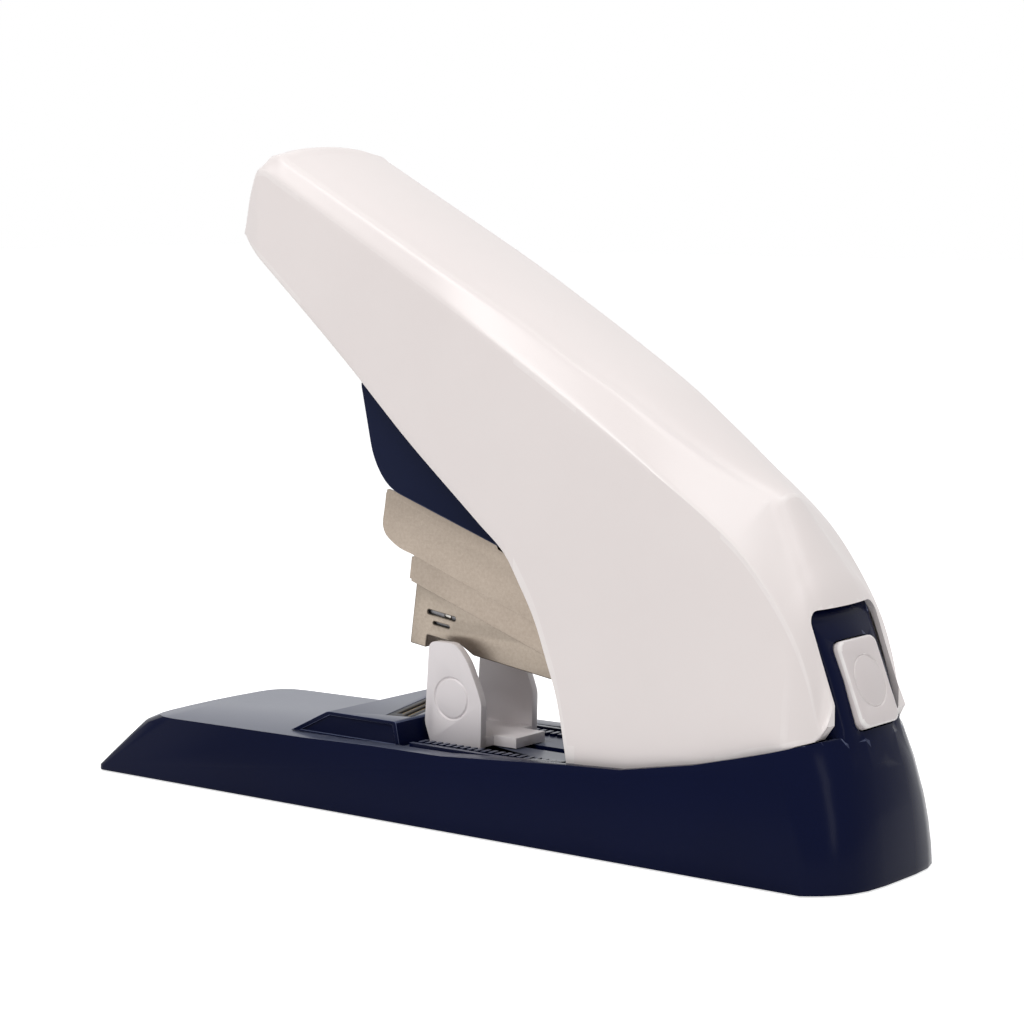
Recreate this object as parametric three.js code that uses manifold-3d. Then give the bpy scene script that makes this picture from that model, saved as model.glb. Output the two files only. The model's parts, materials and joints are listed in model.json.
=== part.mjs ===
// Hand-operated heavy duty stapler, millimetres, +Z up.
// Building frame: x = 0 at the staple line (nose towards -x), y = 0 in the middle,
// z = 0 on the flat deck. The last lines move it so that z = 0 is under the feet.
import * as THREE from 'three';
import { mergeVertices } from 'three/addons/utils/BufferGeometryUtils.js';
import Module from 'manifold-3d';

const wasm = await Module();
wasm.setup();

// ---- driving dimensions ----
const NOSE_LENGTH = 90; // base tip to staple line
const REAR_LENGTH = 132.6; // staple line to the back of the base
const BASE_WIDTH = 50.8;
const DECK_HEIGHT = 17.2; // deck above the surface it stands on
const DECK_PLATE = 2.2;
const BASE_WALL = 1.9;
const TUB_LENGTH = 71.4; // open tub, from the end of the deck to the back of the base
const TABLE_RISE = 6;
const TABLE_HALF = 20;
const FOOT_HEIGHT = 1;
const PLATE_SHEET = 1.4; // steel bottom plate
const CHASSIS_SHEET = 1.6;

const CHANNEL_HALF = 6.2; // inside of the staple channel, half its width
const MAGAZINE_SHEET = 0.6;
const GUIDE_SHEET = 0.5;
const FRAME_SHEET = 0.7;
const LEVER_SHEET = 1.4;
const SLIDE_FIT = 0.2; // between nested sheet metal channels
const SIDE_GAP = 0.4; // between cheeks that turn past each other
const REST_GAP = 0.3; // between pieces that only lie against each other
const ARM_HALF = 4.5; // driver arm, half its width
const MAGAZINE_SETBACK = 50; // back of the closed drawer ahead of the back of the base
const CHANNEL_TOP = 14.9; // top of the magazine above its nose

const CLOSED_GAP = 1; // nose above the table when the head is down
const HEAD_TILT = 8; // degrees, head open
const ARM_TILT = 8; // degrees, driver arm above the head
const DRIVER_STROKE = 14.8;
const GAUGE_TRAVEL = 28;

const HEAD_PIVOT_BACK = 21.4; // head pivot ahead of the back of the base
const HEAD_PIVOT_Z = 2.8;
const HANDLE_PIVOT_BACK = 35.4;
const HANDLE_PIVOT_Z = 38.8;
const PIVOT_PIN = 2.5; // radius
const SMALL_PIN = 1.5;
const BORE_GAP = 0.3;

const HANDLE_REACH = 41.4; // handle tip ahead of the staple line
const COVER_WALL = 2.4;
const COVER_GAP = 0.4; // between the cover's skirts and the tub

// ---- sizes that follow ----
const TIP = -NOSE_LENGTH;
const REAR = REAR_LENGTH;
const BOTTOM = -DECK_HEIGHT;
const HALF = BASE_WIDTH / 2;
const TUB_FRONT = REAR - TUB_LENGTH;
const MAGAZINE_HALF = CHANNEL_HALF + MAGAZINE_SHEET;
const GUIDE_IN = MAGAZINE_HALF + SLIDE_FIT;
const GUIDE_OUT = GUIDE_IN + GUIDE_SHEET;
const FRAME_IN = GUIDE_OUT + SLIDE_FIT;
const FRAME_OUT = FRAME_IN + FRAME_SHEET;
const LEVER_IN = FRAME_OUT + 1.5 * SIDE_GAP;
const LEVER_OUT = LEVER_IN + LEVER_SHEET;
const CHEEK_IN = LEVER_OUT + SIDE_GAP;
const CHEEK_OUT = CHEEK_IN + CHASSIS_SHEET;
const HEAD_COVER_OUT = CHEEK_IN + 1.4;
const TOWER_OUT = CHEEK_OUT + 0.6;
const TOWER_IN = CHEEK_IN - 0.1;
const TUB_IN = HALF - 0.9 - BASE_WALL;
const COVER_HALF = TUB_IN - COVER_GAP;
const PLATE_TOP = BOTTOM + FOOT_HEIGHT + PLATE_SHEET;
const FLOOR_TOP = PLATE_TOP + CHASSIS_SHEET;
const HEAD_PIVOT = [REAR - HEAD_PIVOT_BACK, HEAD_PIVOT_Z];
const HANDLE_PIVOT = [REAR - HANDLE_PIVOT_BACK, HANDLE_PIVOT_Z];

// ---- solids ----
const CYLINDER_SIDES = 20;

function toManifold(geometry) {
  const bare = geometry.clone();
  bare.deleteAttribute('normal');
  bare.deleteAttribute('uv');
  const merged = mergeVertices(bare, 1e-4);
  return new wasm.Manifold(new wasm.Mesh({
    numProp: 3,
    vertProperties: new Float32Array(merged.attributes.position.array),
    triVerts: new Uint32Array(merged.index.array),
  }));
}

function toGeometry(manifold) {
  const mesh = manifold.getMesh();
  const geometry = new THREE.BufferGeometry();
  geometry.setAttribute('position', new THREE.BufferAttribute(mesh.vertProperties, 3));
  geometry.setIndex(new THREE.BufferAttribute(mesh.triVerts, 1));
  return geometry;
}

// outline of [x, z] or [x, z, corner radius] points, a corner never past half its edges
function outline(points) {
  const shape = new THREE.Shape();
  const corners = points.map(([x, z]) => new THREE.Vector2(x, z));
  const count = points.length;
  corners.forEach((here, i) => {
    const before = corners[(i + count - 1) % count].clone().sub(here);
    const after = corners[(i + 1) % count].clone().sub(here);
    const radius = Math.min(points[i][2] ?? 0, 0.48 * before.length(), 0.48 * after.length());
    const start = before.setLength(radius).add(here);
    const end = after.setLength(radius).add(here);
    if (i === 0) shape.moveTo(start.x, start.y);
    else shape.lineTo(start.x, start.y);
    if (radius > 0) shape.quadraticCurveTo(here.x, here.y, end.x, end.y);
  });
  shape.closePath();
  return shape;
}

// side outline in x and z, made y0 to y1 wide
function plate(points, y0, y1) {
  const options = { depth: y1 - y0, bevelEnabled: false, curveSegments: 4 };
  const geometry = new THREE.ExtrudeGeometry(outline(points), options);
  geometry.rotateX(Math.PI / 2);
  geometry.translate(0, y1, 0);
  return toManifold(geometry);
}

const across = (points, half) => plate(points, -half, half);

// the same side outline on the left and on the right
function cheeks(points, inner, outer) {
  return plate(points, inner, outer).add(plate(points, -outer, -inner));
}

function box(x0, x1, y0, y1, z0, z1) {
  const geometry = new THREE.BoxGeometry(x1 - x0, y1 - y0, z1 - z0);
  geometry.translate((x0 + x1) / 2, (y0 + y1) / 2, (z0 + z1) / 2);
  return toManifold(geometry);
}

// cylinder across the stapler, axis along y
function crossRod(radius, [x, z], y0, y1, sides = CYLINDER_SIDES) {
  const geometry = new THREE.CylinderGeometry(radius, radius, y1 - y0, sides);
  geometry.translate(x, (y0 + y1) / 2, z);
  return toManifold(geometry);
}

function post(radius, x, y, z0, z1, sides = CYLINDER_SIDES) {
  const geometry = new THREE.CylinderGeometry(radius, radius, z1 - z0, sides);
  geometry.rotateX(Math.PI / 2);
  geometry.translate(x, y, (z0 + z1) / 2);
  return toManifold(geometry);
}

// round piece standing on its axis, from [radius, z] points
function turned(profile, x, y, sides = CYLINDER_SIDES) {
  const points = profile.map(([radius, z]) => new THREE.Vector2(radius, z));
  const geometry = new THREE.LatheGeometry(points, sides);
  geometry.rotateX(Math.PI / 2);
  geometry.translate(x, y, 0);
  return toManifold(geometry);
}

// closed skin through rings that have the same number of points
function loft(rings, capAxes) {
  const size = rings[0].length;
  const position = rings.flat().flatMap((p) => [p.x, p.y, p.z]);
  const index = [];
  for (let r = 0; r < rings.length - 1; r += 1) {
    for (let i = 0; i < size; i += 1) {
      const a = r * size + i;
      const b = r * size + ((i + 1) % size);
      index.push(a, b, a + size, b, b + size, a + size);
    }
  }
  const cap = (ring, base, flip) => {
    const flat = ring.map((p) => new THREE.Vector2(p[capAxes[0]], p[capAxes[1]]));
    for (const [a, b, c] of THREE.ShapeUtils.triangulateShape(flat, [])) {
      index.push(...(flip ? [base + a, base + c, base + b] : [base + a, base + b, base + c]));
    }
  };
  cap(rings[0], 0, true);
  cap(rings[rings.length - 1], (rings.length - 1) * size, false);
  const geometry = new THREE.BufferGeometry();
  geometry.setAttribute('position', new THREE.Float32BufferAttribute(position, 3));
  geometry.setIndex(index);
  return toManifold(geometry);
}

// wire bent along points
function wire(points, radius, steps) {
  const section = new THREE.Shape();
  section.absarc(0, 0, radius, 0, 2 * Math.PI);
  return new THREE.ExtrudeGeometry(section, {
    steps,
    curveSegments: 6,
    extrudePath: new THREE.CatmullRomCurve3(points),
  });
}

function coilPoints(radius, turns, length, stepsPerTurn = 8) {
  const count = turns * stepsPerTurn;
  return Array.from({ length: count + 1 }, (_, i) => {
    const angle = (2 * Math.PI * i) / stepsPerTurn;
    return new THREE.Vector3(
      radius * Math.cos(angle), radius * Math.sin(angle), (length * i) / count);
  });
}

// value in a table of rows sorted by their first number
function along(table, x, column = 1) {
  const next = table.findIndex((row) => row[0] >= x);
  if (next <= 0) return table[next === 0 ? 0 : table.length - 1][column];
  const [a, b] = [table[next - 1], table[next]];
  return THREE.MathUtils.lerp(a[column], b[column], (x - a[0]) / (b[0] - a[0]));
}

// ---- finishes ----
const finish = (color, roughness, metalness) => ({ color, roughness, metalness });
const NAVY = finish(0x141d33, 0.3, 0);
const WHITE = finish(0xece6e4, 0.28, 0);
const PALE_GREY = finish(0xdcd6d6, 0.45, 0);
const STEEL = finish(0xaaa294, 0.35, 1);
const DARK_STEEL = finish(0x55565a, 0.45, 1);
const BRASS = finish(0xb08d45, 0.35, 1);
const RUBBER = finish(0x26282b, 0.9, 0);

const stapler = new THREE.Group();

function addPiece(parent, name, shape, look) {
  const geometry = shape instanceof THREE.BufferGeometry ? shape : toGeometry(shape);
  const mesh = new THREE.Mesh(geometry, new THREE.MeshStandardMaterial(look));
  mesh.name = name;
  parent.add(mesh);
  return mesh;
}

// ---- base ----
const SIDE_LEAN = 0.9; // each side wall leans in this much over LEAN_HEIGHT
const REAR_LEAN = 5.5;
const LEAN_HEIGHT = 31.5;
const TUB_TOP = 40;
const SHELL_BOTTOM = BOTTOM + 0.3;
const ROUND_STEPS = [1, 0.96, 0.89, 0.8, 0.68, 0.5, 0.25];

// slope of the base's front: [z, distance behind the tip]
const FRONT_SLOPE = [[BOTTOM, 0], [-15.7, 0], [-12.2, 3.6], [-7.1, 9], [-2.7, 13.8], [-0.7, 18.2]];

// plan outline of the base at height z, pulled in by inset
function basePlan(inset, z) {
  const height = (z - BOTTOM) / LEAN_HEIGHT;
  const rise = Math.max(height, 0) ** 1.8;
  const w = HALF - inset - SIDE_LEAN * height;
  const f = TIP + inset + along(FRONT_SLOPE, z);
  const corner = 2.5 + 0.35 * along(FRONT_SLOPE, z);
  const r = REAR - inset - REAR_LEAN * rise;
  const depth = 10 + 4 * rise;
  const power = 4 - rise;
  const back = ROUND_STEPS.map((t) => [r - depth * t ** power, -w * t]);
  const mirrored = back.slice().reverse().map(([x, y]) => [x, -y]);
  const front = new THREE.Shape();
  front.moveTo(f + 0.8 + corner, w);
  front.quadraticCurveTo(f + 1, w, f + 0.8, w - corner);
  front.quadraticCurveTo(f - 0.8, 0, f + 0.8, corner - w);
  front.quadraticCurveTo(f + 1, -w, f + 0.8 + corner, -w);
  return [...back, [r, 0], ...mirrored, ...front.getPoints(4).map((p) => [p.x, p.y])]
    .map(([x, y]) => new THREE.Vector3(x, y, z));
}

function baseBody(inset, z0, z1) {
  const heights = [z0, -15.7, -12.2, -7.1, -2.7, -0.7, 7, 14, z1].filter((z) => z >= z0 && z <= z1);
  return loft(heights.map((z) => basePlan(inset, z)), ['x', 'y']);
}

const TOWER_FRONT = REAR - 18;
// back of the tower, from the rim up: [x, z] from the back of the base
const TOWER_BACK = [
  [-3.8, 8.8], [-6.1, 16.9], [-9.4, 26.9], [-12, 33], [-13.4, 36], [-15.1, 39], [-16.6, 41.2],
];
const TOWER_ROUND = 4;
const TOWER_BULGE = 1;

function towerBody() {
  return loft(TOWER_BACK.map(([x, z]) => {
    const back = REAR + x;
    const round = Math.min(TOWER_ROUND, 0.9 * (back - TOWER_BULGE - TOWER_FRONT));
    const w = TOWER_OUT;
    const side = back - TOWER_BULGE;
    const plan = new THREE.Shape();
    plan.moveTo(TOWER_FRONT, -w);
    plan.lineTo(side - round, -w);
    plan.quadraticCurveTo(side, -w, side, round - w);
    plan.quadraticCurveTo(back + TOWER_BULGE, 0, side, w - round);
    plan.quadraticCurveTo(side, w, side - round, w);
    plan.lineTo(TOWER_FRONT, w);
    return plan.getPoints(4).map((p) => new THREE.Vector3(p.x, p.y, z));
  }), ['x', 'y']);
}

// space inside the tower, open to the front
const TOWER_HOLLOW = [
  [-20, 6.8], [-6.1, 6.8], [-8.4, 14.9], [-11.7, 24.9], [-15.4, 33, 3], [-18, 38.6], [-20, 39],
].map(([x, z, radius]) => [REAR + x, z, radius]);

const BUTTON = new THREE.Vector3(REAR - 9, 0, 25.8); // middle of the button on the tower's face
const BUTTON_LEAN = THREE.MathUtils.degToRad(21.4);
const BUTTON_HALF = [7, 9.6]; // half its width and height
const BUTTON_PROUD = 1.5;
const BUTTON_DEPTH = 2.5;
const STEM_DROP = 5.1;
const STEM_RADIUS = 1.5;
const STEM_LENGTH = 21.6;

// piece modelled with +x out of the tower's face, moved to the button's place
function onTowerFace(manifold) {
  const geometry = toGeometry(manifold);
  geometry.rotateY(-BUTTON_LEAN);
  geometry.translate(BUTTON.x, 0, BUTTON.z);
  return toManifold(geometry);
}

// top edge of the side walls
const RIM = [
  [TIP, -0.8], [TIP + 18.2, -0.8], [TIP + 72.2, -0.1], [TIP + 93.2, 0.5], [TIP + 114.2, 0.7],
  [TUB_FRONT, 3.3], [REAR - 57.4, 4], [REAR - 38.4, 7.5], [REAR - 25.4, 10.8],
  [REAR - 9.4, 15.1], [REAR, 15.5],
];

const SCREW_POSTS = [
  ['front_left', TIP + 27, -15], ['front_right', TIP + 27, 15],
  ['rear_left', REAR - 11, -16.4], ['rear_right', REAR - 11, 16.4],
];
const POST_RADIUS = 3;
const SCREW_RADIUS = 1.2;

const GAUGE_FRONT = 8.3;
const GAUGE_INNER = FRAME_OUT + 0.6;
const GAUGE_OUTER = GAUGE_INNER + 2;
const GAUGE_STEM = { x0: 14, x1: 22, half: 1.7 };

const CLINCH_X = -1.2;
const CLINCH_TURN = THREE.MathUtils.degToRad(16);
const CLINCH_HALF = [3.4, 14.5]; // half its size along and across the table
const BLADE_SPACING = 2.4;
const BLADE_THICK = 0.9;

// piece modelled at the origin, turned and moved to the clincher's place
function atClincher(manifold) {
  const geometry = toGeometry(manifold);
  geometry.rotateZ(CLINCH_TURN);
  geometry.translate(CLINCH_X, 0, 0);
  return toManifold(geometry);
}

// detent teeth and side rails that the depth gauge runs between
const RACK = { x0: 9.5, y: GAUGE_OUTER + 2.6, half: 1.5, pitch: 2.1, rise: 0.8 };
const RAIL = { y: RACK.y + 4, half: 0.7, rise: 1 };

function makeBaseShell() {
  const outside = baseBody(0, SHELL_BOTTOM, TUB_TOP).intersect(
    across([...RIM, [REAR, -30], [TIP, -30]], HALF + 1));
  const hollow = baseBody(BASE_WALL, SHELL_BOTTOM - 1, TUB_TOP + 1).intersect(across([
    [TIP + 2, -30], [TIP + 2, -DECK_PLATE - 1.2], [TIP + 21, -DECK_PLATE - 1.2], [0, -DECK_PLATE],
    [TUB_FRONT, -DECK_PLATE],
    [TUB_FRONT, 50], [REAR, 50], [REAR, -30],
  ], HALF));
  // the rim is thinner at the back, where the cover swings past it
  const relief = baseBody(BASE_WALL - 0.5, 10.5, TUB_TOP).intersect(
    box(REAR - 24, REAR, -HALF, HALF, 10.5, TUB_TOP));
  let shell = outside.subtract(hollow).subtract(relief);
  const tower = towerBody().subtract(across(TOWER_HOLLOW, TOWER_IN));
  shell = shell.add(tower);
  for (const [, x, y] of SCREW_POSTS) {
    const top = x < 0 ? -1 : 6;
    shell = shell.add(post(POST_RADIUS, x, y, PLATE_TOP, top, 16).intersect(
      baseBody(0.1, SHELL_BOTTOM, TUB_TOP)));
    if (x > 0) {
      const rib = box(x, REAR - 3, y - 1, y + 1, PLATE_TOP, top);
      shell = shell.add(rib.intersect(baseBody(0.1, SHELL_BOTTOM, TUB_TOP)));
    }
    shell = shell.subtract(post(SCREW_RADIUS + BORE_GAP, x, y, PLATE_TOP - 1, PLATE_TOP + 10, 12));
  }
  const recess = box(TIP + 61.2, TUB_FRONT + 1, -TABLE_HALF - REST_GAP, TABLE_HALF + REST_GAP, 0, 9);
  const skirtSlots = box(TUB_FRONT - 4, TUB_FRONT + 1, -TUB_IN, TUB_IN, -9, 9).subtract(
    box(TUB_FRONT - 5, TUB_FRONT + 2, 3 - TUB_IN, TUB_IN - 3, -10, 10));
  const stemSlot = box(GAUGE_STEM.x0 - 0.5, GAUGE_STEM.x1 + GAUGE_TRAVEL + 0.5,
    -GAUGE_STEM.half - REST_GAP, GAUGE_STEM.half + REST_GAP, -9, 9);
  const clinchHole = atClincher(box(-CLINCH_HALF[0] - REST_GAP, CLINCH_HALF[0] + REST_GAP,
    -CLINCH_HALF[1] - REST_GAP, CLINCH_HALF[1] + REST_GAP, -9, 9));
  const window = onTowerFace(box(-8, 6, -BUTTON_HALF[0] - REST_GAP, BUTTON_HALF[0] + REST_GAP,
    -BUTTON_HALF[1] - REST_GAP, BUTTON_HALF[1] + REST_GAP));
  shell = shell.subtract(recess);
  for (let x = RACK.x0; x < TUB_FRONT - RACK.pitch; x += RACK.pitch) {
    for (const side of [-1, 1]) {
      const y = side * RACK.y;
      shell = shell.add(box(x, x + 0.55 * RACK.pitch, y - RACK.half, y + RACK.half, -1, RACK.rise));
    }
  }
  for (const y of [-RAIL.y, RAIL.y]) {
    shell = shell.add(box(RACK.x0, TUB_FRONT, y - RAIL.half, y + RAIL.half, -1, RAIL.rise));
  }
  return shell.subtract(skirtSlots).subtract(stemSlot).subtract(clinchHole).subtract(window);
}
addPiece(stapler, 'base_shell', makeBaseShell(), NAVY);

const FEET = [
  ['front_left', TIP + 41, -16], ['front_right', TIP + 41, 16],
  ['rear_left', REAR - 30, -16], ['rear_right', REAR - 30, 16],
];
const FOOT_RADIUS = 5.5;
const FOOT_STUB = 2;

function makeBasePlate() {
  const z0 = BOTTOM + FOOT_HEIGHT;
  let sheet = baseBody(BASE_WALL + REST_GAP, z0, PLATE_TOP).intersect(
    box(TIP + 11, REAR, -HALF, HALF, z0 - 1, PLATE_TOP + 1));
  for (const [, x, y] of SCREW_POSTS) {
    sheet = sheet.subtract(post(SCREW_RADIUS + BORE_GAP, x, y, z0 - 1, PLATE_TOP + 1, 12));
  }
  for (const [, x, y] of FEET) {
    sheet = sheet.subtract(post(FOOT_STUB + BORE_GAP, x, y, z0 - 1, PLATE_TOP + 1, 12));
  }
  return sheet;
}
addPiece(stapler, 'base_plate', makeBasePlate(), DARK_STEEL);

for (const [place, x, y] of FEET) {
  const foot = turned([
    [0, BOTTOM], [FOOT_RADIUS - 0.4, BOTTOM], [FOOT_RADIUS, BOTTOM + 0.4],
    [FOOT_RADIUS, BOTTOM + FOOT_HEIGHT], [FOOT_STUB, BOTTOM + FOOT_HEIGHT],
    [FOOT_STUB, PLATE_TOP - 0.1], [0, PLATE_TOP - 0.1],
  ], x, y);
  addPiece(stapler, `foot_${place}`, foot, RUBBER);
}

for (const [place, x, y] of SCREW_POSTS) {
  const under = BOTTOM + FOOT_HEIGHT;
  const screw = turned([
    [0, under - 0.8], [2.4, under - 0.8], [2.6, under - 0.5], [2.6, under],
    [SCREW_RADIUS, under], [SCREW_RADIUS, under + 9], [0, under + 9],
  ], x, y, 14);
  addPiece(stapler, `base_screw_${place}`, screw, DARK_STEEL);
}

function makePaperTable() {
  const block = across([
    [TIP + 63.2, 0], [TIP + 75.2, TABLE_RISE, 0.8], [6.7, TABLE_RISE, 0.8], [7.9, 0],
  ], TABLE_HALF);
  const pocket = atClincher(box(-CLINCH_HALF[0] - REST_GAP / 2, CLINCH_HALF[0] + REST_GAP / 2,
    -CLINCH_HALF[1] - REST_GAP / 2, CLINCH_HALF[1] + REST_GAP / 2, -1, 9));
  return block.subtract(pocket);
}
addPiece(stapler, 'paper_table', makePaperTable(), NAVY);

// ---- clincher ----
const CLINCH_DEPTH = 5; // how far the housing goes below the deck
const CARRIER_TOP = -CLINCH_DEPTH - 1.5;
const BLADES = [['rear', BLADE_SPACING / 2, -1.6], ['front', -BLADE_SPACING / 2, 0.4]];
const BLADE_HALF_LENGTH = 11.8;

function makeClincherHousing() {
  let block = box(-CLINCH_HALF[0], CLINCH_HALF[0], -CLINCH_HALF[1], CLINCH_HALF[1],
    -CLINCH_DEPTH, TABLE_RISE);
  for (const [, x, y] of BLADES) {
    const half = BLADE_HALF_LENGTH + REST_GAP;
    block = block.subtract(box(x - BLADE_THICK / 2 - REST_GAP, x + BLADE_THICK / 2 + REST_GAP,
      y - half, y + half, -20, 20));
  }
  return atClincher(block);
}
addPiece(stapler, 'clincher_housing', makeClincherHousing(), DARK_STEEL);
for (const [place, x, y] of BLADES) {
  const blade = atClincher(box(x - BLADE_THICK / 2, x + BLADE_THICK / 2,
    y - BLADE_HALF_LENGTH, y + BLADE_HALF_LENGTH, CARRIER_TOP, TABLE_RISE - 0.5));
  addPiece(stapler, `clincher_blade_${place}`, blade, BRASS);
}
const carrier = atClincher(box(-CLINCH_HALF[0] + 0.4, CLINCH_HALF[0] - 0.4,
  -CLINCH_HALF[1], CLINCH_HALF[1], CARRIER_TOP - 2, CARRIER_TOP));
addPiece(stapler, 'clincher_carrier', carrier, STEEL);

// ---- depth gauge ----
function makeDepthGauge() {
  const x = GAUGE_FRONT;
  const upright = [
    [x + 1.4, 24.5, 2], [x + 9.3, 24.7, 2], [x + 12.9, 20.9, 2], [x + 16, 14.3, 3],
    [x + 17.2, 10.9, 1], [x + 16.9, REST_GAP], [x + 1.6, REST_GAP], [x, 4.7, 1],
  ];
  const foot = box(x + 3.7, x + 16.7, -GAUGE_OUTER, GAUGE_OUTER, REST_GAP, 2.7);
  const tongue = box(x + 10, x + 23.4, -5.6, 5.6, REST_GAP, 2.7);
  const stem = box(GAUGE_STEM.x0, GAUGE_STEM.x1, -GAUGE_STEM.half, GAUGE_STEM.half,
    -DECK_PLATE - REST_GAP, 1);
  const ring = crossRod(5.2, [x + 8.1, 11.3], -30, 30, 24)
    .subtract(crossRod(4.8, [x + 8.1, 11.3], -31, 31, 24))
    .subtract(box(-50, 50, 0.2 - GAUGE_OUTER, GAUGE_OUTER - 0.2, -50, 50));
  const bore = post(0.95 + BORE_GAP / 2, (GAUGE_STEM.x0 + GAUGE_STEM.x1) / 2, 0, -9, 0, 10);
  return cheeks(upright, GAUGE_INNER, GAUGE_OUTER).add(foot).add(tongue).add(stem)
    .subtract(ring).subtract(bore);
}
addPiece(stapler, 'depth_gauge', makeDepthGauge(), PALE_GREY);
const RETAINER_TOP = -DECK_PLATE - REST_GAP;
const gaugeScrewX = (GAUGE_STEM.x0 + GAUGE_STEM.x1) / 2;
const retainer = box(GAUGE_STEM.x0 - 2, GAUGE_STEM.x1 + 2, -5, 5, RETAINER_TOP - 2, RETAINER_TOP)
  .subtract(post(1.1, gaugeScrewX, 0, -9, 0, 10));
addPiece(stapler, 'gauge_retainer', retainer, PALE_GREY);
const gaugeScrew = turned([
  [0, RETAINER_TOP - 3.2], [2.2, RETAINER_TOP - 3.2], [2.2, RETAINER_TOP - 2],
  [0.9, RETAINER_TOP - 2], [0.9, RETAINER_TOP + 1.8], [0, RETAINER_TOP + 1.8],
], gaugeScrewX, 0, 12);
addPiece(stapler, 'gauge_screw', gaugeScrew, DARK_STEEL);

// ---- chassis and pivots ----
function makeChassis() {
  const [hx, hz] = HANDLE_PIVOT;
  const [px] = HEAD_PIVOT;
  const side = [
    [TUB_FRONT, PLATE_TOP], [px + 5, PLATE_TOP], [px + 5, 7.5], [px + 1, 10],
    [hx + 8, hz + 3, 3], [hx + 3, hz + 6, 3], [hx - 5, hz + 6, 3], [hx - 7, hz], [hx - 9, 18],
    [TUB_FRONT, PLATE_TOP + 8],
  ];
  const floor = box(TUB_FRONT, px + 5, -CHEEK_OUT, CHEEK_OUT, PLATE_TOP, FLOOR_TOP);
  const tabX = px + 3.4;
  const tab = box(tabX, tabX + CHASSIS_SHEET, -6, 6, PLATE_TOP, 21);
  const stemHole = onTowerFace(toManifold(
    new THREE.CylinderGeometry(STEM_RADIUS + 0.4, STEM_RADIUS + 0.4, 60, 14)
      .rotateZ(Math.PI / 2).translate(-30, 0, -STEM_DROP)));
  return cheeks(side, CHEEK_IN, CHEEK_OUT).add(floor).add(tab)
    .subtract(crossRod(PIVOT_PIN + 0.1, HANDLE_PIVOT, -20, 20))
    .subtract(crossRod(PIVOT_PIN + 0.1, HEAD_PIVOT, -20, 20))
    .subtract(stemHole);
}
addPiece(stapler, 'chassis', makeChassis(), STEEL);

const PIN_END = CHEEK_OUT + 1.5;
const CLIP_THICK = 0.7;
const pivots = [['head', HEAD_PIVOT], ['handle', HANDLE_PIVOT]];
for (const [name, at] of pivots) {
  addPiece(stapler, `${name}_pivot_pin`, crossRod(PIVOT_PIN, at, -PIN_END, PIN_END), STEEL);
  for (const [side, sign] of [['left', -1], ['right', 1]]) {
    const middle = sign * (CHEEK_OUT + 0.1 + CLIP_THICK / 2);
    const y0 = middle - CLIP_THICK / 2;
    const y1 = middle + CLIP_THICK / 2;
    const clip = crossRod(PIVOT_PIN + 1.4, at, y0, y1)
      .subtract(crossRod(PIVOT_PIN + 0.1, at, y0 - 1, y1 + 1));
    addPiece(stapler, `${name}_pin_clip_${side}`, clip, DARK_STEEL);
  }
}

// torsion coil on the handle pin
const RETURN_WIRE = 0.6;
const RETURN_LENGTH = 3;
const returnStart = LEVER_IN - REST_GAP - RETURN_WIRE - RETURN_LENGTH;
const returnCoil = coilPoints(PIVOT_PIN + RETURN_WIRE + 0.4, 2, RETURN_LENGTH)
  .map((p) => new THREE.Vector3(HANDLE_PIVOT[0] + p.x, returnStart + p.z, HANDLE_PIVOT[1] + p.y));
addPiece(stapler, 'handle_return_spring', wire(returnCoil, RETURN_WIRE, 32), DARK_STEEL);

const LIFT_SPRING_X = HEAD_PIVOT[0] - 35.2;
const LIFT_SPRING_LENGTH = 21.6;
const liftCoil = coilPoints(4, 6, LIFT_SPRING_LENGTH - 1.8);
const liftSpring = wire(liftCoil, 0.6, 48);
liftSpring.translate(LIFT_SPRING_X, 0, FLOOR_TOP + 0.9);
addPiece(stapler, 'head_lift_spring', liftSpring, DARK_STEEL);

// ---- release button ----
function makeReleaseButton() {
  const [halfY, halfZ] = BUTTON_HALF;
  const face = outline([
    [-halfY, -halfZ, 2], [halfY, -halfZ, 2], [halfY, halfZ, 2], [-halfY, halfZ, 2],
  ]);
  const geometry = new THREE.ExtrudeGeometry(face, {
    depth: BUTTON_PROUD + BUTTON_DEPTH, bevelEnabled: false, curveSegments: 4,
  });
  geometry.rotateX(Math.PI / 2).rotateZ(Math.PI / 2);
  geometry.translate(-BUTTON_DEPTH, 0, 0);
  const stem = new THREE.CylinderGeometry(STEM_RADIUS, STEM_RADIUS, STEM_LENGTH, 14);
  stem.rotateZ(Math.PI / 2).translate(0.5 - BUTTON_DEPTH - STEM_LENGTH / 2, 0, -STEM_DROP);
  return onTowerFace(toManifold(geometry).add(toManifold(stem)));
}
addPiece(stapler, 'release_button', makeReleaseButton(), PALE_GREY);

// ---- head: drawn closed, level, z = 0 at the nose's underside, then tilted open ----
const NOSE_Z = TABLE_RISE + CLOSED_GAP;
const tilt = THREE.MathUtils.degToRad(HEAD_TILT);
const head = new THREE.Group(); // origin on the head pivot
head.position.set(HEAD_PIVOT[0], 0, HEAD_PIVOT[1]);
head.rotation.y = tilt;
const headParts = new THREE.Group();
headParts.position.set(-HEAD_PIVOT[0], 0, NOSE_Z - HEAD_PIVOT[1]);
head.add(headParts);
stapler.add(head);

const HEAD_PIVOT_H = [HEAD_PIVOT[0], HEAD_PIVOT[1] - NOSE_Z]; // in the head's own frame
const ARM_PIN_H = [HEAD_PIVOT[0] - 3.2, HEAD_PIVOT_H[1] + 22.8];
const FRONT_WALL = -1.4; // outer face of the magazine's front wall
const MAGAZINE_BACK = REAR - MAGAZINE_SETBACK;
const LATCH_PIN_H = [MAGAZINE_BACK + 11.1, 12.9];
const LATCH_TAB_TOP = 6.6;
const FLOOR_RISE = 1.5;
const WEB_TOP = FLOOR_RISE - REST_GAP;

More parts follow.
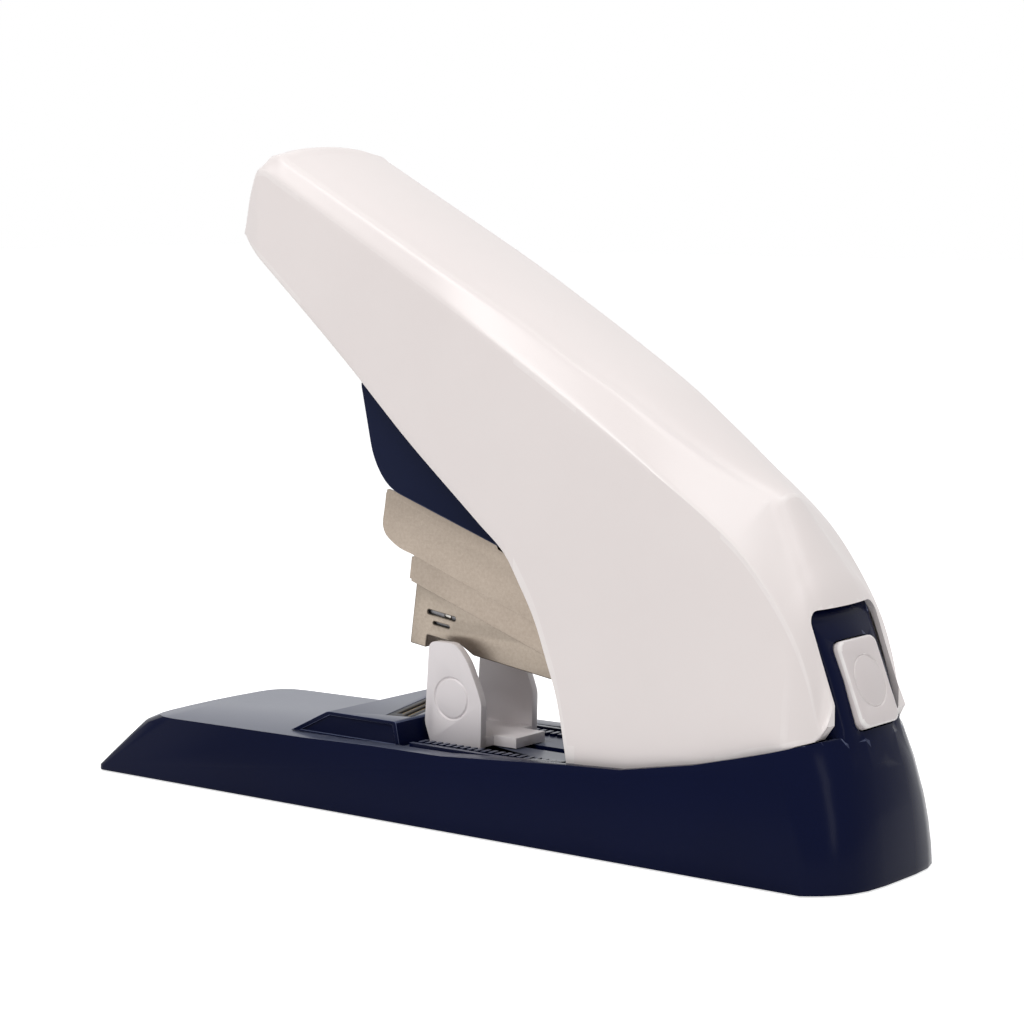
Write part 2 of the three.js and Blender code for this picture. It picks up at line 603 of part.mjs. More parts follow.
function makeHeadFrame() {
  const [px, pz] = HEAD_PIVOT_H;
  const [ax, az] = ARM_PIN_H;
  const side = [
    [-12.1, 36, 0.5], [-12.6, 25.4, 5], [-6.8, 22.5, 2], [-2.4, 21.9], [35.6, 14], [47, 11.6],
    [51, WEB_TOP - 0.8], [px - 14, WEB_TOP - 0.8], [px - 6, pz - 4, 2], [px, pz - 6.5, 3],
    [px + 6, pz - 3, 3], [px + 5, pz + 8], [ax + 5.5, az], [ax + 3, az + 6, 2], [ax - 4, az + 6, 2],
    [px - 24, 22.5], [px - 41, 23.5], [33, 26.2], [24.4, 26.6], [21.4, 31.4], [17.3, 32.3],
  ];
  const bottomWeb = box(51, px - 19, -FRAME_OUT, FRAME_OUT, WEB_TOP - 0.8, WEB_TOP);
  const frontWeb = box(-12.3, -11.6, -FRAME_OUT, FRAME_OUT, 29, 35);
  return cheeks(side, FRAME_IN, FRAME_OUT).add(bottomWeb).add(frontWeb)
    .subtract(crossRod(PIVOT_PIN + 0.1, HEAD_PIVOT_H, -20, 20))
    .subtract(crossRod(SMALL_PIN + 0.1, ARM_PIN_H, -20, 20))
    .subtract(crossRod(1.1, LATCH_PIN_H, -20, 20, 12));
}
addPiece(headParts, 'head_frame', makeHeadFrame(), STEEL);

function makeHeadCover() {
  const side = [
    [-21, 61.5, 2], [-14.4, 43.1, 4], [-8.8, 37, 4], [20.3, 31.4], [44, 26.9], [50, 40], [50, 49],
    [20, 56],
  ];
  const inside = [
    [-17, 70], [-12.4, 44.6, 3], [-8.6, 39.4, 2], [52, 27.6], [60, 70],
  ];
  const opening = box(-16, 0, -FRAME_OUT - REST_GAP, FRAME_OUT + REST_GAP, 20, 36.6)
    .add(box(-9, 9, -FRAME_OUT - REST_GAP, FRAME_OUT + REST_GAP, 20, 60))
    .add(box(8, 60, -CHEEK_IN, CHEEK_IN, 20, 60));
  return across(side, HEAD_COVER_OUT).subtract(across(inside, CHEEK_IN)).subtract(opening);
}
addPiece(headParts, 'head_cover', makeHeadCover(), NAVY);

const GUIDE_BACK = 72;
const GUIDE_WEB = CHANNEL_TOP + REST_GAP;

function makeMagazineGuide() {
  const side = [
    [-2.5, GUIDE_WEB], [66, WEB_TOP + REST_GAP], [GUIDE_BACK, WEB_TOP + REST_GAP],
    [GUIDE_BACK, 17.8], [-2.5, 24.8],
  ];
  const web = box(8, GUIDE_BACK, -GUIDE_OUT, GUIDE_OUT, GUIDE_WEB, GUIDE_WEB + 0.6);
  const tab = box(-3.1, -2.4, -GUIDE_OUT, GUIDE_OUT, 15.7, 21.1);
  return cheeks(side, GUIDE_IN, GUIDE_OUT).add(web).add(tab);
}
addPiece(headParts, 'magazine_guide', makeMagazineGuide(), STEEL);

function armPin() {
  const flange = 2.4;
  const end = FRAME_OUT + 0.9;
  const shaft = crossRod(SMALL_PIN, ARM_PIN_H, -end, end);
  return shaft.add(crossRod(flange, ARM_PIN_H, FRAME_OUT + 0.1, end))
    .add(crossRod(flange, ARM_PIN_H, -end, -FRAME_OUT - 0.1));
}
addPiece(headParts, 'arm_pin', armPin(), STEEL);
addPiece(headParts, 'latch_pin', crossRod(1, LATCH_PIN_H, -FRAME_OUT, FRAME_OUT, 12), STEEL);

// ---- driver ----
const TIP_HALF = 2.5;
const ARM_TIP = [1.5, 22.5];
const arm = new THREE.Group();
arm.position.set(ARM_PIN_H[0], 0, ARM_PIN_H[1]);
arm.rotation.y = THREE.MathUtils.degToRad(ARM_TILT);
headParts.add(arm);

function makeDriverArm() {
  const [ax, az] = ARM_PIN_H;
  const bodyOutline = [
    [3.5, 19.4], [ax - 32, 17.2], [ax - 12, az - 2.8], [ax, az - 6, 4], [ax + 5.4, az - 2, 3],
    [ax + 5.4, az + 3, 3], [ax, az + 5.4, 4], [ax - 7, az + 3.2], [ax - 16, az + 2.8],
    [ax - 48, 23.35], [3.5, 25.4],
  ];
  const tip = box(-2.2, 4, -TIP_HALF, TIP_HALF, ARM_TIP[1] - 1.8, ARM_TIP[1] + 1.8);
  const geometry = toGeometry(across(bodyOutline, ARM_HALF).add(tip)
    .subtract(crossRod(SMALL_PIN + 0.1, ARM_PIN_H, -20, 20)));
  return geometry.translate(-ax, 0, -az);
}
addPiece(arm, 'driver_arm', makeDriverArm(), STEEL);

const BLADE_LOW = 2.5; // lowest point of the driver, just above the magazine's floor
const driver = box(0, 0.9, 0.3 - CHANNEL_HALF, CHANNEL_HALF - 0.3, BLADE_LOW, 27.5)
  .subtract(box(-1, 2, -TIP_HALF - 0.4, TIP_HALF + 0.4, ARM_TIP[1] - 2.7, ARM_TIP[1] + 2.7));
addPiece(headParts, 'driver_blade', driver, STEEL).position.z = DRIVER_STROKE;

// ---- magazine drawer ----
function makeMagazineBody() {
  const back = MAGAZINE_BACK;
  const step = 3.1;
  const side = [
    [FRONT_WALL, 0], [3.5, 0], [3.5, step], [14, step], [18, FLOOR_RISE], [back, FLOOR_RISE],
    [back, CHANNEL_TOP], [FRONT_WALL, CHANNEL_TOP],
  ];
  const inside = [
    [FRONT_WALL + 0.8, -1], [2.3, -1], [2.3, step + 0.8], [14, step + 0.8],
    [18, FLOOR_RISE + 0.8], [back - 0.8, FLOOR_RISE + 0.8], [back - 0.8, 20],
    [FRONT_WALL + 0.8, 20],
  ];
  const slots = box(3, 11.5, -20, 20, 8.4, 9.3).add(box(5, 10, -20, 20, 6.2, 6.8));
  const tab = box(back - 0.5, back + 3.9, -3, 3, 5, LATCH_TAB_TOP);
  return across(side, MAGAZINE_HALF).subtract(across(inside, CHANNEL_HALF))
    .subtract(slots).add(tab);
}
addPiece(headParts, 'magazine_body', makeMagazineBody(), STEEL);

const PUSHER_HALF = CHANNEL_HALF - 0.3;
const ROLL = { at: [8.6, 8.8], radius: 4.2, half: 3.4 };

function makeStaplePusher() {
  const face = box(1.5, 3.3, -PUSHER_HALF, PUSHER_HALF, 4.2, 14.2);
  const side = [[3, 4.2], [12.8, 4.2], [13.4, 8], [11, 13], [3, 13]];
  return face.add(cheeks(side, ROLL.half + 0.4, PUSHER_HALF))
    .subtract(crossRod(1.1, ROLL.at, -20, 20, 12));
}
addPiece(headParts, 'staple_pusher', makeStaplePusher(), DARK_STEEL);
const roll = crossRod(ROLL.radius, ROLL.at, -ROLL.half, ROLL.half, 24)
  .subtract(crossRod(1.2, ROLL.at, -20, 20, 12));
addPiece(headParts, 'pusher_roll_spring', roll, DARK_STEEL);
addPiece(headParts, 'roll_axle', crossRod(1, ROLL.at, -PUSHER_HALF, PUSHER_HALF, 12), STEEL);

function makeLatch() {
  const [lx, lz] = LATCH_PIN_H;
  const hook = MAGAZINE_BACK + 1.8;
  const side = [
    [hook, LATCH_TAB_TOP + REST_GAP], [hook + 2, LATCH_TAB_TOP + REST_GAP], [hook + 2.2, 9.2],
    [lx - 1.2, lz - 2.5], [lx + 0.7, lz - 3.1], [lx + 2.2, 3.2], [lx + 3.7, 3.4],
    [lx + 2.6, lz - 1.2], [lx + 2, lz + 1.9, 1], [lx - 1.4, lz + 2.1, 1], [lx - 2.9, lz + 0.1],
    [hook, 11.2],
  ];
  return across(side, 2.5).subtract(crossRod(1.1, LATCH_PIN_H, -9, 9, 12));
}
addPiece(headParts, 'magazine_latch', makeLatch(), STEEL);
const latchCoil = coilPoints(1.9, 2, 1.6).map((p) => new THREE.Vector3(
  LATCH_PIN_H[0] + p.x, 3.4 + p.z, LATCH_PIN_H[1] + p.y));
addPiece(headParts, 'latch_spring', wire(latchCoil, 0.35, 32), DARK_STEEL);

// ---- handle ----
const HANDLE_TIP = -HANDLE_REACH;
const fromTip = (points) => points.map(([x, ...rest]) => [HANDLE_TIP + x, ...rest]);
const fromRear = (points) => points.map(([x, ...rest]) => [REAR + x, ...rest]);
const COVER_BACK = REAR - 8.6;

// upper edge of the side panels: [x, z, how far inside COVER_HALF]
const SHOULDER = [
  ...fromTip([[0, 121, 3.4], [7, 136.8, 0.7], [29.5, 124.7, 0.8], [60, 108, 0.7]]),
  ...fromRear([[-77.7, 87.3, 0.3], [-49.8, 69.4, 0.3], [-37.1, 59.6, 0.8], [-29.4, 52.4, 2],
    [-22.6, 42.5, 3.3], [-17.7, 33.5, 4.4], [-15, 24.7, 4.8], [-11.6, 17, 5.4], [-8.6, 16, 8]]),
];
// edge of the top face: [x, z, half width]
const CREST = [
  ...fromTip([[0, 123, 14], [6.6, 138, 17.5], [10.4, 139.9, 19], [57.5, 115.2, 19.2]]),
  ...fromRear([[-91.4, 101.7, 17.2], [-77.8, 93.6, 16.9], [-64.1, 85.6, 15.3],
    [-54.6, 79.2, 14], [-45.7, 73.3, 12.2], [-37.4, 68, 9.5], [-30.9, 64.1, 6.5],
    [-17.8, 42.5, 12], [-11.5, 31.4, 13.5], [-8.6, 19, 14]]),
];
// lower part of the side panels: [x, how far inside COVER_HALF]
const SKIRT = [
  ...fromTip([[0, 3.4], [2.5, 1.4], [7, 0.7], [60, 0.7]]),
  ...fromRear([[-70, 0], [-17, 0], [-14.4, 1.2], [-11.4, 3.8], [-8.6, 7.2]]),
];
const SKIRT_TOP = 14;
// lower edge of the cover, seen from the side
const COVER_EDGE = [
  ...fromTip([[-5, 121], [0, 120.5], [9.5, 112.5], [34.8, 90.4], [53.3, 73.2]]),
  ...fromRear([[-99.4, 55.3], [-92, 49.1], [-87.7, 42.5], [-83.3, 34.7], [-79.6, 25.2],
    [-76.8, 17.2], [-73.6, 1.3], [-35.4, 5.5], [-30.6, 6.8], [-29.4, 10.4], [-25.4, 11.4],
    [-9.4, 15.8],
    [-5, 16], [-5, 160]]),
  [HANDLE_TIP - 5, 160],
];
const CROWN = 2.2; // rise of the top face's middle line

function coverSection(x, wall) {
  const w = COVER_HALF - along(SKIRT, x) - wall;
  const upper = COVER_HALF - along(SHOULDER, x, 2) - wall;
  const shoulder = along(SHOULDER, x) - 0.6 * wall;
  const crest = along(CREST, x) - wall;
  const half = Math.min(along(CREST, x, 2), upper + wall - 0.8) - 0.5 * wall;
  const low = -12;
  const right = [
    [w, low], [w, SKIRT_TOP], [upper, shoulder], [half, crest], [0.6 * half, crest + 0.7 * CROWN],
    [0, crest + CROWN],
  ];
  const left = right.slice(0, -1).reverse().map(([y, z]) => [-y, z]);
  return [...right, ...left].map(([y, z]) => new THREE.Vector3(x, y, z));
}

function coverBody(wall) {
  const start = HANDLE_TIP + wall;
  const end = COVER_BACK - wall;
  const stations = [...SHOULDER, ...CREST, ...SKIRT].map(([x]) => x)
    .filter((x) => x > start + 0.3 && x < end - 0.3).sort((a, b) => a - b)
    .filter((x, i, all) => i === 0 || x - all[i - 1] > 0.6);
  return loft([start, ...stations, end].map((x) => coverSection(x, wall)), ['y', 'z']);
}

// lever's top edge, between its front and back corners
const LEVER_TOP = [[HANDLE_PIVOT[0] - 80, 90.8], [HANDLE_PIVOT[0] - 8, 60.8]];
const leverTop = (x) => along(LEVER_TOP, x);
const COVER_SCREWS = [['front', LEVER_TOP[0][0] + 18], ['rear', LEVER_TOP[0][0] + 50]];
const BOSS_RADIUS = 3.5;
const COVER_SCREW_RADIUS = 1.5;

function makeHandleCover() {
  const outside = coverBody(0);
  let shell = outside.subtract(coverBody(COVER_WALL));
  for (const [, x] of COVER_SCREWS) {
    const low = leverTop(x - BOSS_RADIUS) + REST_GAP;
    shell = shell.add(post(BOSS_RADIUS, x, 0, low, 150, 16).intersect(outside))
      .subtract(post(COVER_SCREW_RADIUS + BORE_GAP, x, 0, low - 1, low + 9, 12));
  }
  const cutOut = box(REAR - 30, REAR, -TOWER_OUT - 0.5, TOWER_OUT + 0.5, -20, 43);
  return shell.intersect(across(COVER_EDGE, HALF)).subtract(cutOut);
}
addPiece(stapler, 'handle_cover', makeHandleCover(), WHITE);

const ROLLER = { at: [HANDLE_PIVOT[0] - 66, NOSE_Z + 53.1], radius: 4.5, half: 5, pin: 1.5 };

function makeHandleLever() {
  const [hx, hz] = HANDLE_PIVOT;
  const [rx, rz] = ROLLER.at;
  const [[fx, fz], [bx, bz]] = LEVER_TOP;
  const side = [
    [hx + 6, hz - 4, 3], [hx + 6, hz + 5, 3], [bx, bz], [fx, fz], [fx - 6, fz - 4, 2],
    [rx - 9, rz + 6.7], [rx - 6.5, rz - 3.3, 2], [rx + 5, rz - 4.8], [hx - 36, hz + 7],
    [hx - 4, hz - 6, 3],
  ];
  const slope = (bz - fz) / (bx - fx);
  const web = across([[fx, fz], [bx, bz], [bx, bz - LEVER_SHEET * 1.1], [fx, fz - LEVER_SHEET * 1.1]],
    LEVER_OUT);
  let lever = cheeks(side, LEVER_IN, LEVER_OUT).add(web)
    .subtract(crossRod(PIVOT_PIN + 0.1, HANDLE_PIVOT, -20, 20))
    .subtract(crossRod(ROLLER.pin + 0.1, ROLLER.at, -20, 20));
  for (const [name, x] of COVER_SCREWS) {
    lever = lever.subtract(post(COVER_SCREW_RADIUS + BORE_GAP, x, 0, 0, 120, 12));
    const under = leverTop(x) + 3 * slope - LEVER_SHEET * 1.1 - REST_GAP;
    const screw = turned([
      [0, under - 1.6], [2.4, under - 1.6], [2.8, under - 1.2], [2.8, under],
      [COVER_SCREW_RADIUS, under], [COVER_SCREW_RADIUS, under + 11], [0, under + 11],
    ], x, 0, 14);
    addPiece(stapler, `cover_screw_${name}`, screw, DARK_STEEL);
  }
  return lever;
}
addPiece(stapler, 'handle_lever', makeHandleLever(), STEEL);
addPiece(stapler, 'roller_pin', crossRod(ROLLER.pin, ROLLER.at, -LEVER_OUT, LEVER_OUT, 14), STEEL);
const roller = crossRod(ROLLER.radius, ROLLER.at, -ROLLER.half, ROLLER.half, 24)
  .subtract(crossRod(ROLLER.pin + 0.1, ROLLER.at, -20, 20, 14));
addPiece(stapler, 'drive_roller', roller, DARK_STEEL);

// ---- place on the surface, middle of the length at x = 0 ----
stapler.position.set((NOSE_LENGTH - REAR_LENGTH) / 2, 0, DECK_HEIGHT);
const group = new THREE.Group();
group.add(stapler);

export default group;
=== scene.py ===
import json
import math

import bmesh
import bpy
from mathutils import Matrix, Vector


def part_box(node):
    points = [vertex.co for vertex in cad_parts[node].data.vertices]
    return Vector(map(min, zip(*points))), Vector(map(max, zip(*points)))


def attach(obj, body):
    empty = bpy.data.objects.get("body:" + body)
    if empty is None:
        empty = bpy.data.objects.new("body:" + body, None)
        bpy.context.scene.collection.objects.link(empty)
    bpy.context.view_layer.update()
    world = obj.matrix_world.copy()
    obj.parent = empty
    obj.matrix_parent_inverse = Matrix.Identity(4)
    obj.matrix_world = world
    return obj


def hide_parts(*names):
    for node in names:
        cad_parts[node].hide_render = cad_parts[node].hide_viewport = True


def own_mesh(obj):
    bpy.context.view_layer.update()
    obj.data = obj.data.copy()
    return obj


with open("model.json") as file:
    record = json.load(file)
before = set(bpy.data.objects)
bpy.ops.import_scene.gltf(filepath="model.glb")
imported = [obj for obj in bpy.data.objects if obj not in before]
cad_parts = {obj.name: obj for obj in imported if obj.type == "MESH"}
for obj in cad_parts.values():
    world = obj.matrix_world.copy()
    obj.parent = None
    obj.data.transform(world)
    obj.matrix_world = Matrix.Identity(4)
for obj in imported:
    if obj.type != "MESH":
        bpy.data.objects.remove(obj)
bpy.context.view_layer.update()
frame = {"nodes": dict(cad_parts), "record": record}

mm = 0.001
record = frame["record"]
bodyOfNode = {node: body for body, members in record["behaviour"]["bodies"].items()
              for node in members}
slotOfNode = {part["node"]: part["material_slot"] for part in record["subparts"]}

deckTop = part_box("paper_table")[0].z  # flat deck that the paper table stands on
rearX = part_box("base_shell")[1].x  # back of the base
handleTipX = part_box("handle_cover")[0].x  # front end of the handle


def report(stage):
    print("stage:", stage)


def newGroup(name, inputs, outputs):
    group = bpy.data.node_groups.new(name, "ShaderNodeTree")
    for label, kind, value in inputs:
        socket = group.interface.new_socket(label, in_out="INPUT", socket_type=kind)
        socket.default_value = value
    for label, kind in outputs:
        group.interface.new_socket(label, in_out="OUTPUT", socket_type=kind)
    return group, group.nodes.new("NodeGroupInput"), group.nodes.new("NodeGroupOutput")


def mathNode(tree, operation, *values, clamp=False):
    node = tree.nodes.new("ShaderNodeMath")
    node.operation = operation
    node.use_clamp = clamp
    for socket, value in zip(node.inputs, values):
        if isinstance(value, bpy.types.NodeSocket):
            tree.links.new(value, socket)
        else:
            socket.default_value = value
    return node.outputs[0]


def noiseNode(tree, vector, scale, detail=3.0, roughness=0.55):
    node = tree.nodes.new("ShaderNodeTexNoise")
    tree.links.new(vector, node.inputs["Vector"])
    if isinstance(scale, bpy.types.NodeSocket):
        tree.links.new(scale, node.inputs["Scale"])
    else:
        node.inputs["Scale"].default_value = scale
    node.inputs["Detail"].default_value = detail
    node.inputs["Roughness"].default_value = roughness
    return node.outputs["Fac"]


def stretched(tree, vector, scale):
    node = tree.nodes.new("ShaderNodeMapping")
    node.vector_type = "TEXTURE"
    node.inputs["Scale"].default_value = scale
    tree.links.new(vector, node.inputs["Vector"])
    return node.outputs[0]


skinPattern = {"waveScale": 45.0, "cloudScale": 22.0}


def mouldSkinGroup():
    # skin of a moulded plastic: slow waviness, fine spark-eroded grain, faint cloudy colour
    tree, given, out = newGroup("mouldSkin", [
        ("Grain Scale", "NodeSocketFloat", 2600.0), ("Grain", "NodeSocketFloat", 0.3),
        ("Wave", "NodeSocketFloat", 0.5)],
        [("Height", "NodeSocketFloat"), ("Cloud", "NodeSocketFloat")])
    place = tree.nodes.new("ShaderNodeTexCoord").outputs["Object"]
    grain = noiseNode(tree, place, given.outputs["Grain Scale"], detail=2.0)
    wave = noiseNode(tree, place, skinPattern["waveScale"], detail=1.0)
    cloud = noiseNode(tree, place, skinPattern["cloudScale"], detail=4.0)
    height = mathNode(tree, "ADD", mathNode(tree, "MULTIPLY", grain, given.outputs["Grain"]),
                      mathNode(tree, "MULTIPLY", wave, given.outputs["Wave"]))
    tree.links.new(height, out.inputs["Height"])
    tree.links.new(cloud, out.inputs["Cloud"])
    return tree


sheetPattern = {
    "lineStretch": (14.0, 0.35, 0.35), "lineScale": 1500.0,
    "scratchStretch": (6.0, 1.0, 0.4), "scratchScale": 420.0, "scratchFrom": 0.7,
    "slowScale": 90.0, "slowShare": 0.35, "fineScale": 1300.0, "fineShare": 0.65,
}


def brushedGroup():
    # rolled and brushed sheet: long fine lines one way, blotches and small scratches
    tree, given, out = newGroup("brushedSheet", [
        ("Lines", "NodeSocketFloat", 1.0), ("Scratches", "NodeSocketFloat", 0.4)],
        [("Height", "NodeSocketFloat"), ("Line", "NodeSocketFloat"),
         ("Blotch", "NodeSocketFloat")])
    place = tree.nodes.new("ShaderNodeTexCoord").outputs["Object"]
    lengthened = stretched(tree, place, sheetPattern["lineStretch"])
    line = noiseNode(tree, lengthened, sheetPattern["lineScale"], 3.0, 0.6)
    drawn = stretched(tree, place, sheetPattern["scratchStretch"])
    scratch = noiseNode(tree, drawn, sheetPattern["scratchScale"], 4.0, 0.7)
    slow = noiseNode(tree, place, sheetPattern["slowScale"], 3.0)
    fine = noiseNode(tree, place, sheetPattern["fineScale"], 3.0, 0.7)
    fine = mathNode(tree, "MULTIPLY", fine, sheetPattern["fineShare"])
    blotch = mathNode(tree, "MULTIPLY_ADD", slow, sheetPattern["slowShare"], fine)
    deep = mathNode(tree, "GREATER_THAN", scratch, sheetPattern["scratchFrom"])
    height = mathNode(tree, "SUBTRACT", mathNode(tree, "MULTIPLY", line, given.outputs["Lines"]),
                      mathNode(tree, "MULTIPLY", deep, given.outputs["Scratches"]))
    tree.links.new(height, out.inputs["Height"])
    tree.links.new(line, out.inputs["Line"])
    tree.links.new(blotch, out.inputs["Blotch"])
    return tree


edgeWearAndLightPattern = {"breakScale": 240.0, "least": 0.15}


def edgeWearAndLightGroup():
    # colour along the edges from the mesh's own "edge" attribute, broken up so it is uneven: rubbed
    # wear on some finishes, a painted highlight on the navy, a painted shade on the steel sheets
    tree, given, out = newGroup("edgeWearAndLightTree", [("Amount", "NodeSocketFloat", 0.5)],
                                [("Mask", "NodeSocketFloat")])
    edge = tree.nodes.new("ShaderNodeAttribute")
    edge.attribute_name = "edge"
    place = tree.nodes.new("ShaderNodeTexCoord").outputs["Object"]
    broken = noiseNode(tree, place, edgeWearAndLightPattern["breakScale"], 3.0)
    broken = mathNode(tree, "ADD", broken, edgeWearAndLightPattern["least"])
    mask = mathNode(tree, "MULTIPLY", edge.outputs["Fac"], broken)
    mask = mathNode(tree, "MULTIPLY", mask, given.outputs["Amount"], clamp=True)
    tree.links.new(mask, out.inputs["Mask"])
    return tree


mouldSkin = mouldSkinGroup()
brushedSheet = brushedGroup()
edgeWearAndLightTree = edgeWearAndLightGroup()


def colour(red, green, blue):
    # a colour as a screen shows it, 0 to 255, as the shader takes it
    def linear(value):
        share = value / 255
        return share / 12.92 if share <= 0.04045 else ((share + 0.055) / 1.055) ** 2.4
    return (linear(red), linear(green), linear(blue), 1.0)


def newMaterial(name):
    material = bpy.data.materials.new(name)
    material.use_nodes = True
    tree = material.node_tree
    return material, tree, tree.nodes["Principled BSDF"]


def placeGroup(tree, group, **values):
    node = tree.nodes.new("ShaderNodeGroup")
    node.node_tree = group
    for label, value in values.items():
        node.inputs[label.replace("_", " ")].default_value = value
    return node


def mixColour(tree, share, first, second):
    node = tree.nodes.new("ShaderNodeMix")
    node.data_type = "RGBA"
    tree.links.new(share, node.inputs["Factor"])
    for socket, value in ((node.inputs[6], first), (node.inputs[7], second)):
        if isinstance(value, bpy.types.NodeSocket):
            tree.links.new(value, socket)
        else:
            socket.default_value = value
    return node.outputs[2]


def bumpFrom(tree, shader, height, strength, distance):
    node = tree.nodes.new("ShaderNodeBump")
    node.inputs["Strength"].default_value = strength
    node.inputs["Distance"].default_value = distance
    tree.links.new(height, node.inputs["Height"])
    tree.links.new(node.outputs["Normal"], shader.inputs["Normal"])


bumpDepth = {"grain": 0.2 * mm, "brush": 0.05 * mm}


def plastic(name, look):
    material, tree, shader = newMaterial(name)
    skin = placeGroup(tree, mouldSkin, Grain_Scale=look["grainScale"], Grain=look["grain"],
                      Wave=look["wave"])
    edgeWearAndLight = placeGroup(tree, edgeWearAndLightTree, Amount=look["edgeWearAndLight"])
    shade = mixColour(tree, skin.outputs["Cloud"], look["dark"], look["light"])
    # edge colour: rubbed wear, and on the navy a painted highlight along its edges
    shade = mixColour(tree, edgeWearAndLight.outputs["Mask"], shade, look["edgeWearAndLightColour"])
    rough = mathNode(tree, "MULTIPLY_ADD", skin.outputs["Cloud"], look["roughSpread"],
                     look["rough"])
    if "deckRough" in look:  # the flat top is coarser and duller than the polished walls
        flat = tree.nodes.new("ShaderNodeAttribute")
        flat.attribute_name = "deck"
        rough = mathNode(tree, "MULTIPLY_ADD", flat.outputs["Fac"], look["deckRough"], rough)
        # painted sheen: the flat top takes a lighter colour for the grazing light that it reflects
        shade = mixColour(tree, flat.outputs["Fac"], shade, look["paintedDeckSheen"])
        sheen = mathNode(tree, "MULTIPLY", flat.outputs["Fac"], look["deckCoat"])
        tree.links.new(sheen, shader.inputs["Coat Weight"])
    else:
        shader.inputs["Coat Weight"].default_value = look["coat"]
    tree.links.new(shade, shader.inputs["Base Color"])
    tree.links.new(rough, shader.inputs["Roughness"])
    shader.inputs["Specular IOR Level"].default_value = look.get("shine", 0.5)
    shader.inputs["Coat Roughness"].default_value = look["coatRough"]
    bumpFrom(tree, shader, skin.outputs["Height"], look["bump"], bumpDepth["grain"])
    return material


def metal(name, look):
    material, tree, shader = newMaterial(name)
    sheet = placeGroup(tree, brushedSheet, Lines=look["lines"], Scratches=look["scratches"])
    edgeWearAndLight = placeGroup(tree, edgeWearAndLightTree, Amount=look["edgeWearAndLight"])
    shade = mixColour(tree, sheet.outputs["Blotch"], look["dark"], look["light"])
    # edge colour: a painted shade along the steel sheets' edges, rubbed wear on the brass
    shade = mixColour(tree, edgeWearAndLight.outputs["Mask"], shade, look["edgeWearAndLightColour"])
    rough = mathNode(tree, "MULTIPLY_ADD", sheet.outputs["Line"], look["roughSpread"],
                     look["rough"])
    tree.links.new(shade, shader.inputs["Base Color"])
    tree.links.new(rough, shader.inputs["Roughness"])
    shader.inputs["Metallic"].default_value = 1.0
    bumpFrom(tree, shader, sheet.outputs["Height"], look["bump"], bumpDepth["brush"])
    return material


coverLook = {
    "dark": colour(227, 218, 216), "light": colour(236, 228, 226), "edgeWearAndLightColour": colour(246, 241, 239),
    "rough": 0.36, "roughSpread": 0.08, "grainScale": 2400.0, "grain": 0.25, "wave": 0.5,
    "edgeWearAndLight": 0.5, "coat": 0.15, "coatRough": 0.2, "bump": 0.12,
}
navyLook = {
    # the edge colour here is a painted highlight, the light that the rounded rims catch
    "dark": colour(7, 13, 40), "light": colour(11, 18, 50), "edgeWearAndLightColour": colour(112, 120, 148),
    "rough": 0.12, "roughSpread": 0.1, "grainScale": 2200.0, "grain": 0.12, "wave": 0.6,
    "edgeWearAndLight": 1.1, "coat": 0.0, "coatRough": 0.3, "bump": 0.1, "shine": 0.05,
    # the flat top's lighter colour is a painted sheen, on top of its coat and coarser grain
    "deckRough": 0.25, "deckCoat": 0.7, "paintedDeckSheen": colour(86, 91, 110),
}
headNavyLook = {
    **navyLook, "rough": 0.26, "dark": colour(9, 17, 44), "light": colour(13, 23, 54), "edgeWearAndLight": 0.4,
}
headNavyLook.pop("deckRough")  # no flat top on the head
# the paper table's top takes the same painted sheen
tableLook = {**navyLook, "rough": 0.26, "grain": 0.5}
greyLook = {
    "dark": colour(226, 219, 220), "light": colour(238, 232, 233), "edgeWearAndLightColour": colour(248, 244, 244),
    "rough": 0.36, "roughSpread": 0.08, "grainScale": 3000.0, "grain": 0.6, "wave": 0.4,
    "edgeWearAndLight": 0.35, "coat": 0.1, "coatRough": 0.3, "bump": 0.2,
}
buttonLook = {
    **greyLook, "dark": colour(208, 199, 199), "light": colour(222, 214, 213),
    "edgeWearAndLightColour": colour(250, 248, 246), "rough": 0.4, "edgeWearAndLight": 0.9,
}
rubberLook = {
    "dark": colour(30, 31, 33), "light": colour(44, 45, 48), "edgeWearAndLightColour": colour(70, 70, 72),
    "rough": 0.72, "roughSpread": 0.15, "grainScale": 1500.0, "grain": 1.0, "wave": 0.3,
    "edgeWearAndLight": 0.4, "coat": 0.0, "coatRough": 0.3, "bump": 0.4,
}
sheetLook = {
    # the darker edge colour is a painted shade, the dark lines where the sheets' edges overlap
    "dark": colour(132, 121, 111), "light": colour(182, 171, 159), "edgeWearAndLightColour": colour(88, 80, 72),
    "rough": 0.3, "roughSpread": 0.22, "lines": 1.0, "scratches": 0.5, "edgeWearAndLight": 1.3, "bump": 0.4,
}
nickelLook = {**sheetLook, "dark": colour(136, 124, 112), "light": colour(184, 171, 158)}
magazineLook = {**sheetLook, "dark": colour(132, 121, 109), "light": colour(182, 170, 157)}
zincLook = {
    **sheetLook, "dark": colour(140, 139, 136), "light": colour(176, 175, 170), "rough": 0.34,
}
plateLook = {
    **sheetLook, "dark": colour(84, 85, 89), "light": colour(112, 113, 118), "rough": 0.4,
}
screwLook = {
    **sheetLook, "dark": colour(96, 95, 96), "light": colour(140, 139, 138), "rough": 0.3,
    "lines": 0.4,
}
pinLook = {
    **sheetLook, "dark": colour(176, 173, 168), "light": colour(206, 203, 198), "rough": 0.18,
    "lines": 0.4,
}
springLook = {
    **screwLook, "dark": colour(92, 90, 88), "light": colour(150, 146, 140), "rough": 0.26,
}
rollerLook = {**screwLook, "dark": colour(104, 104, 108), "light": colour(146, 146, 150)}
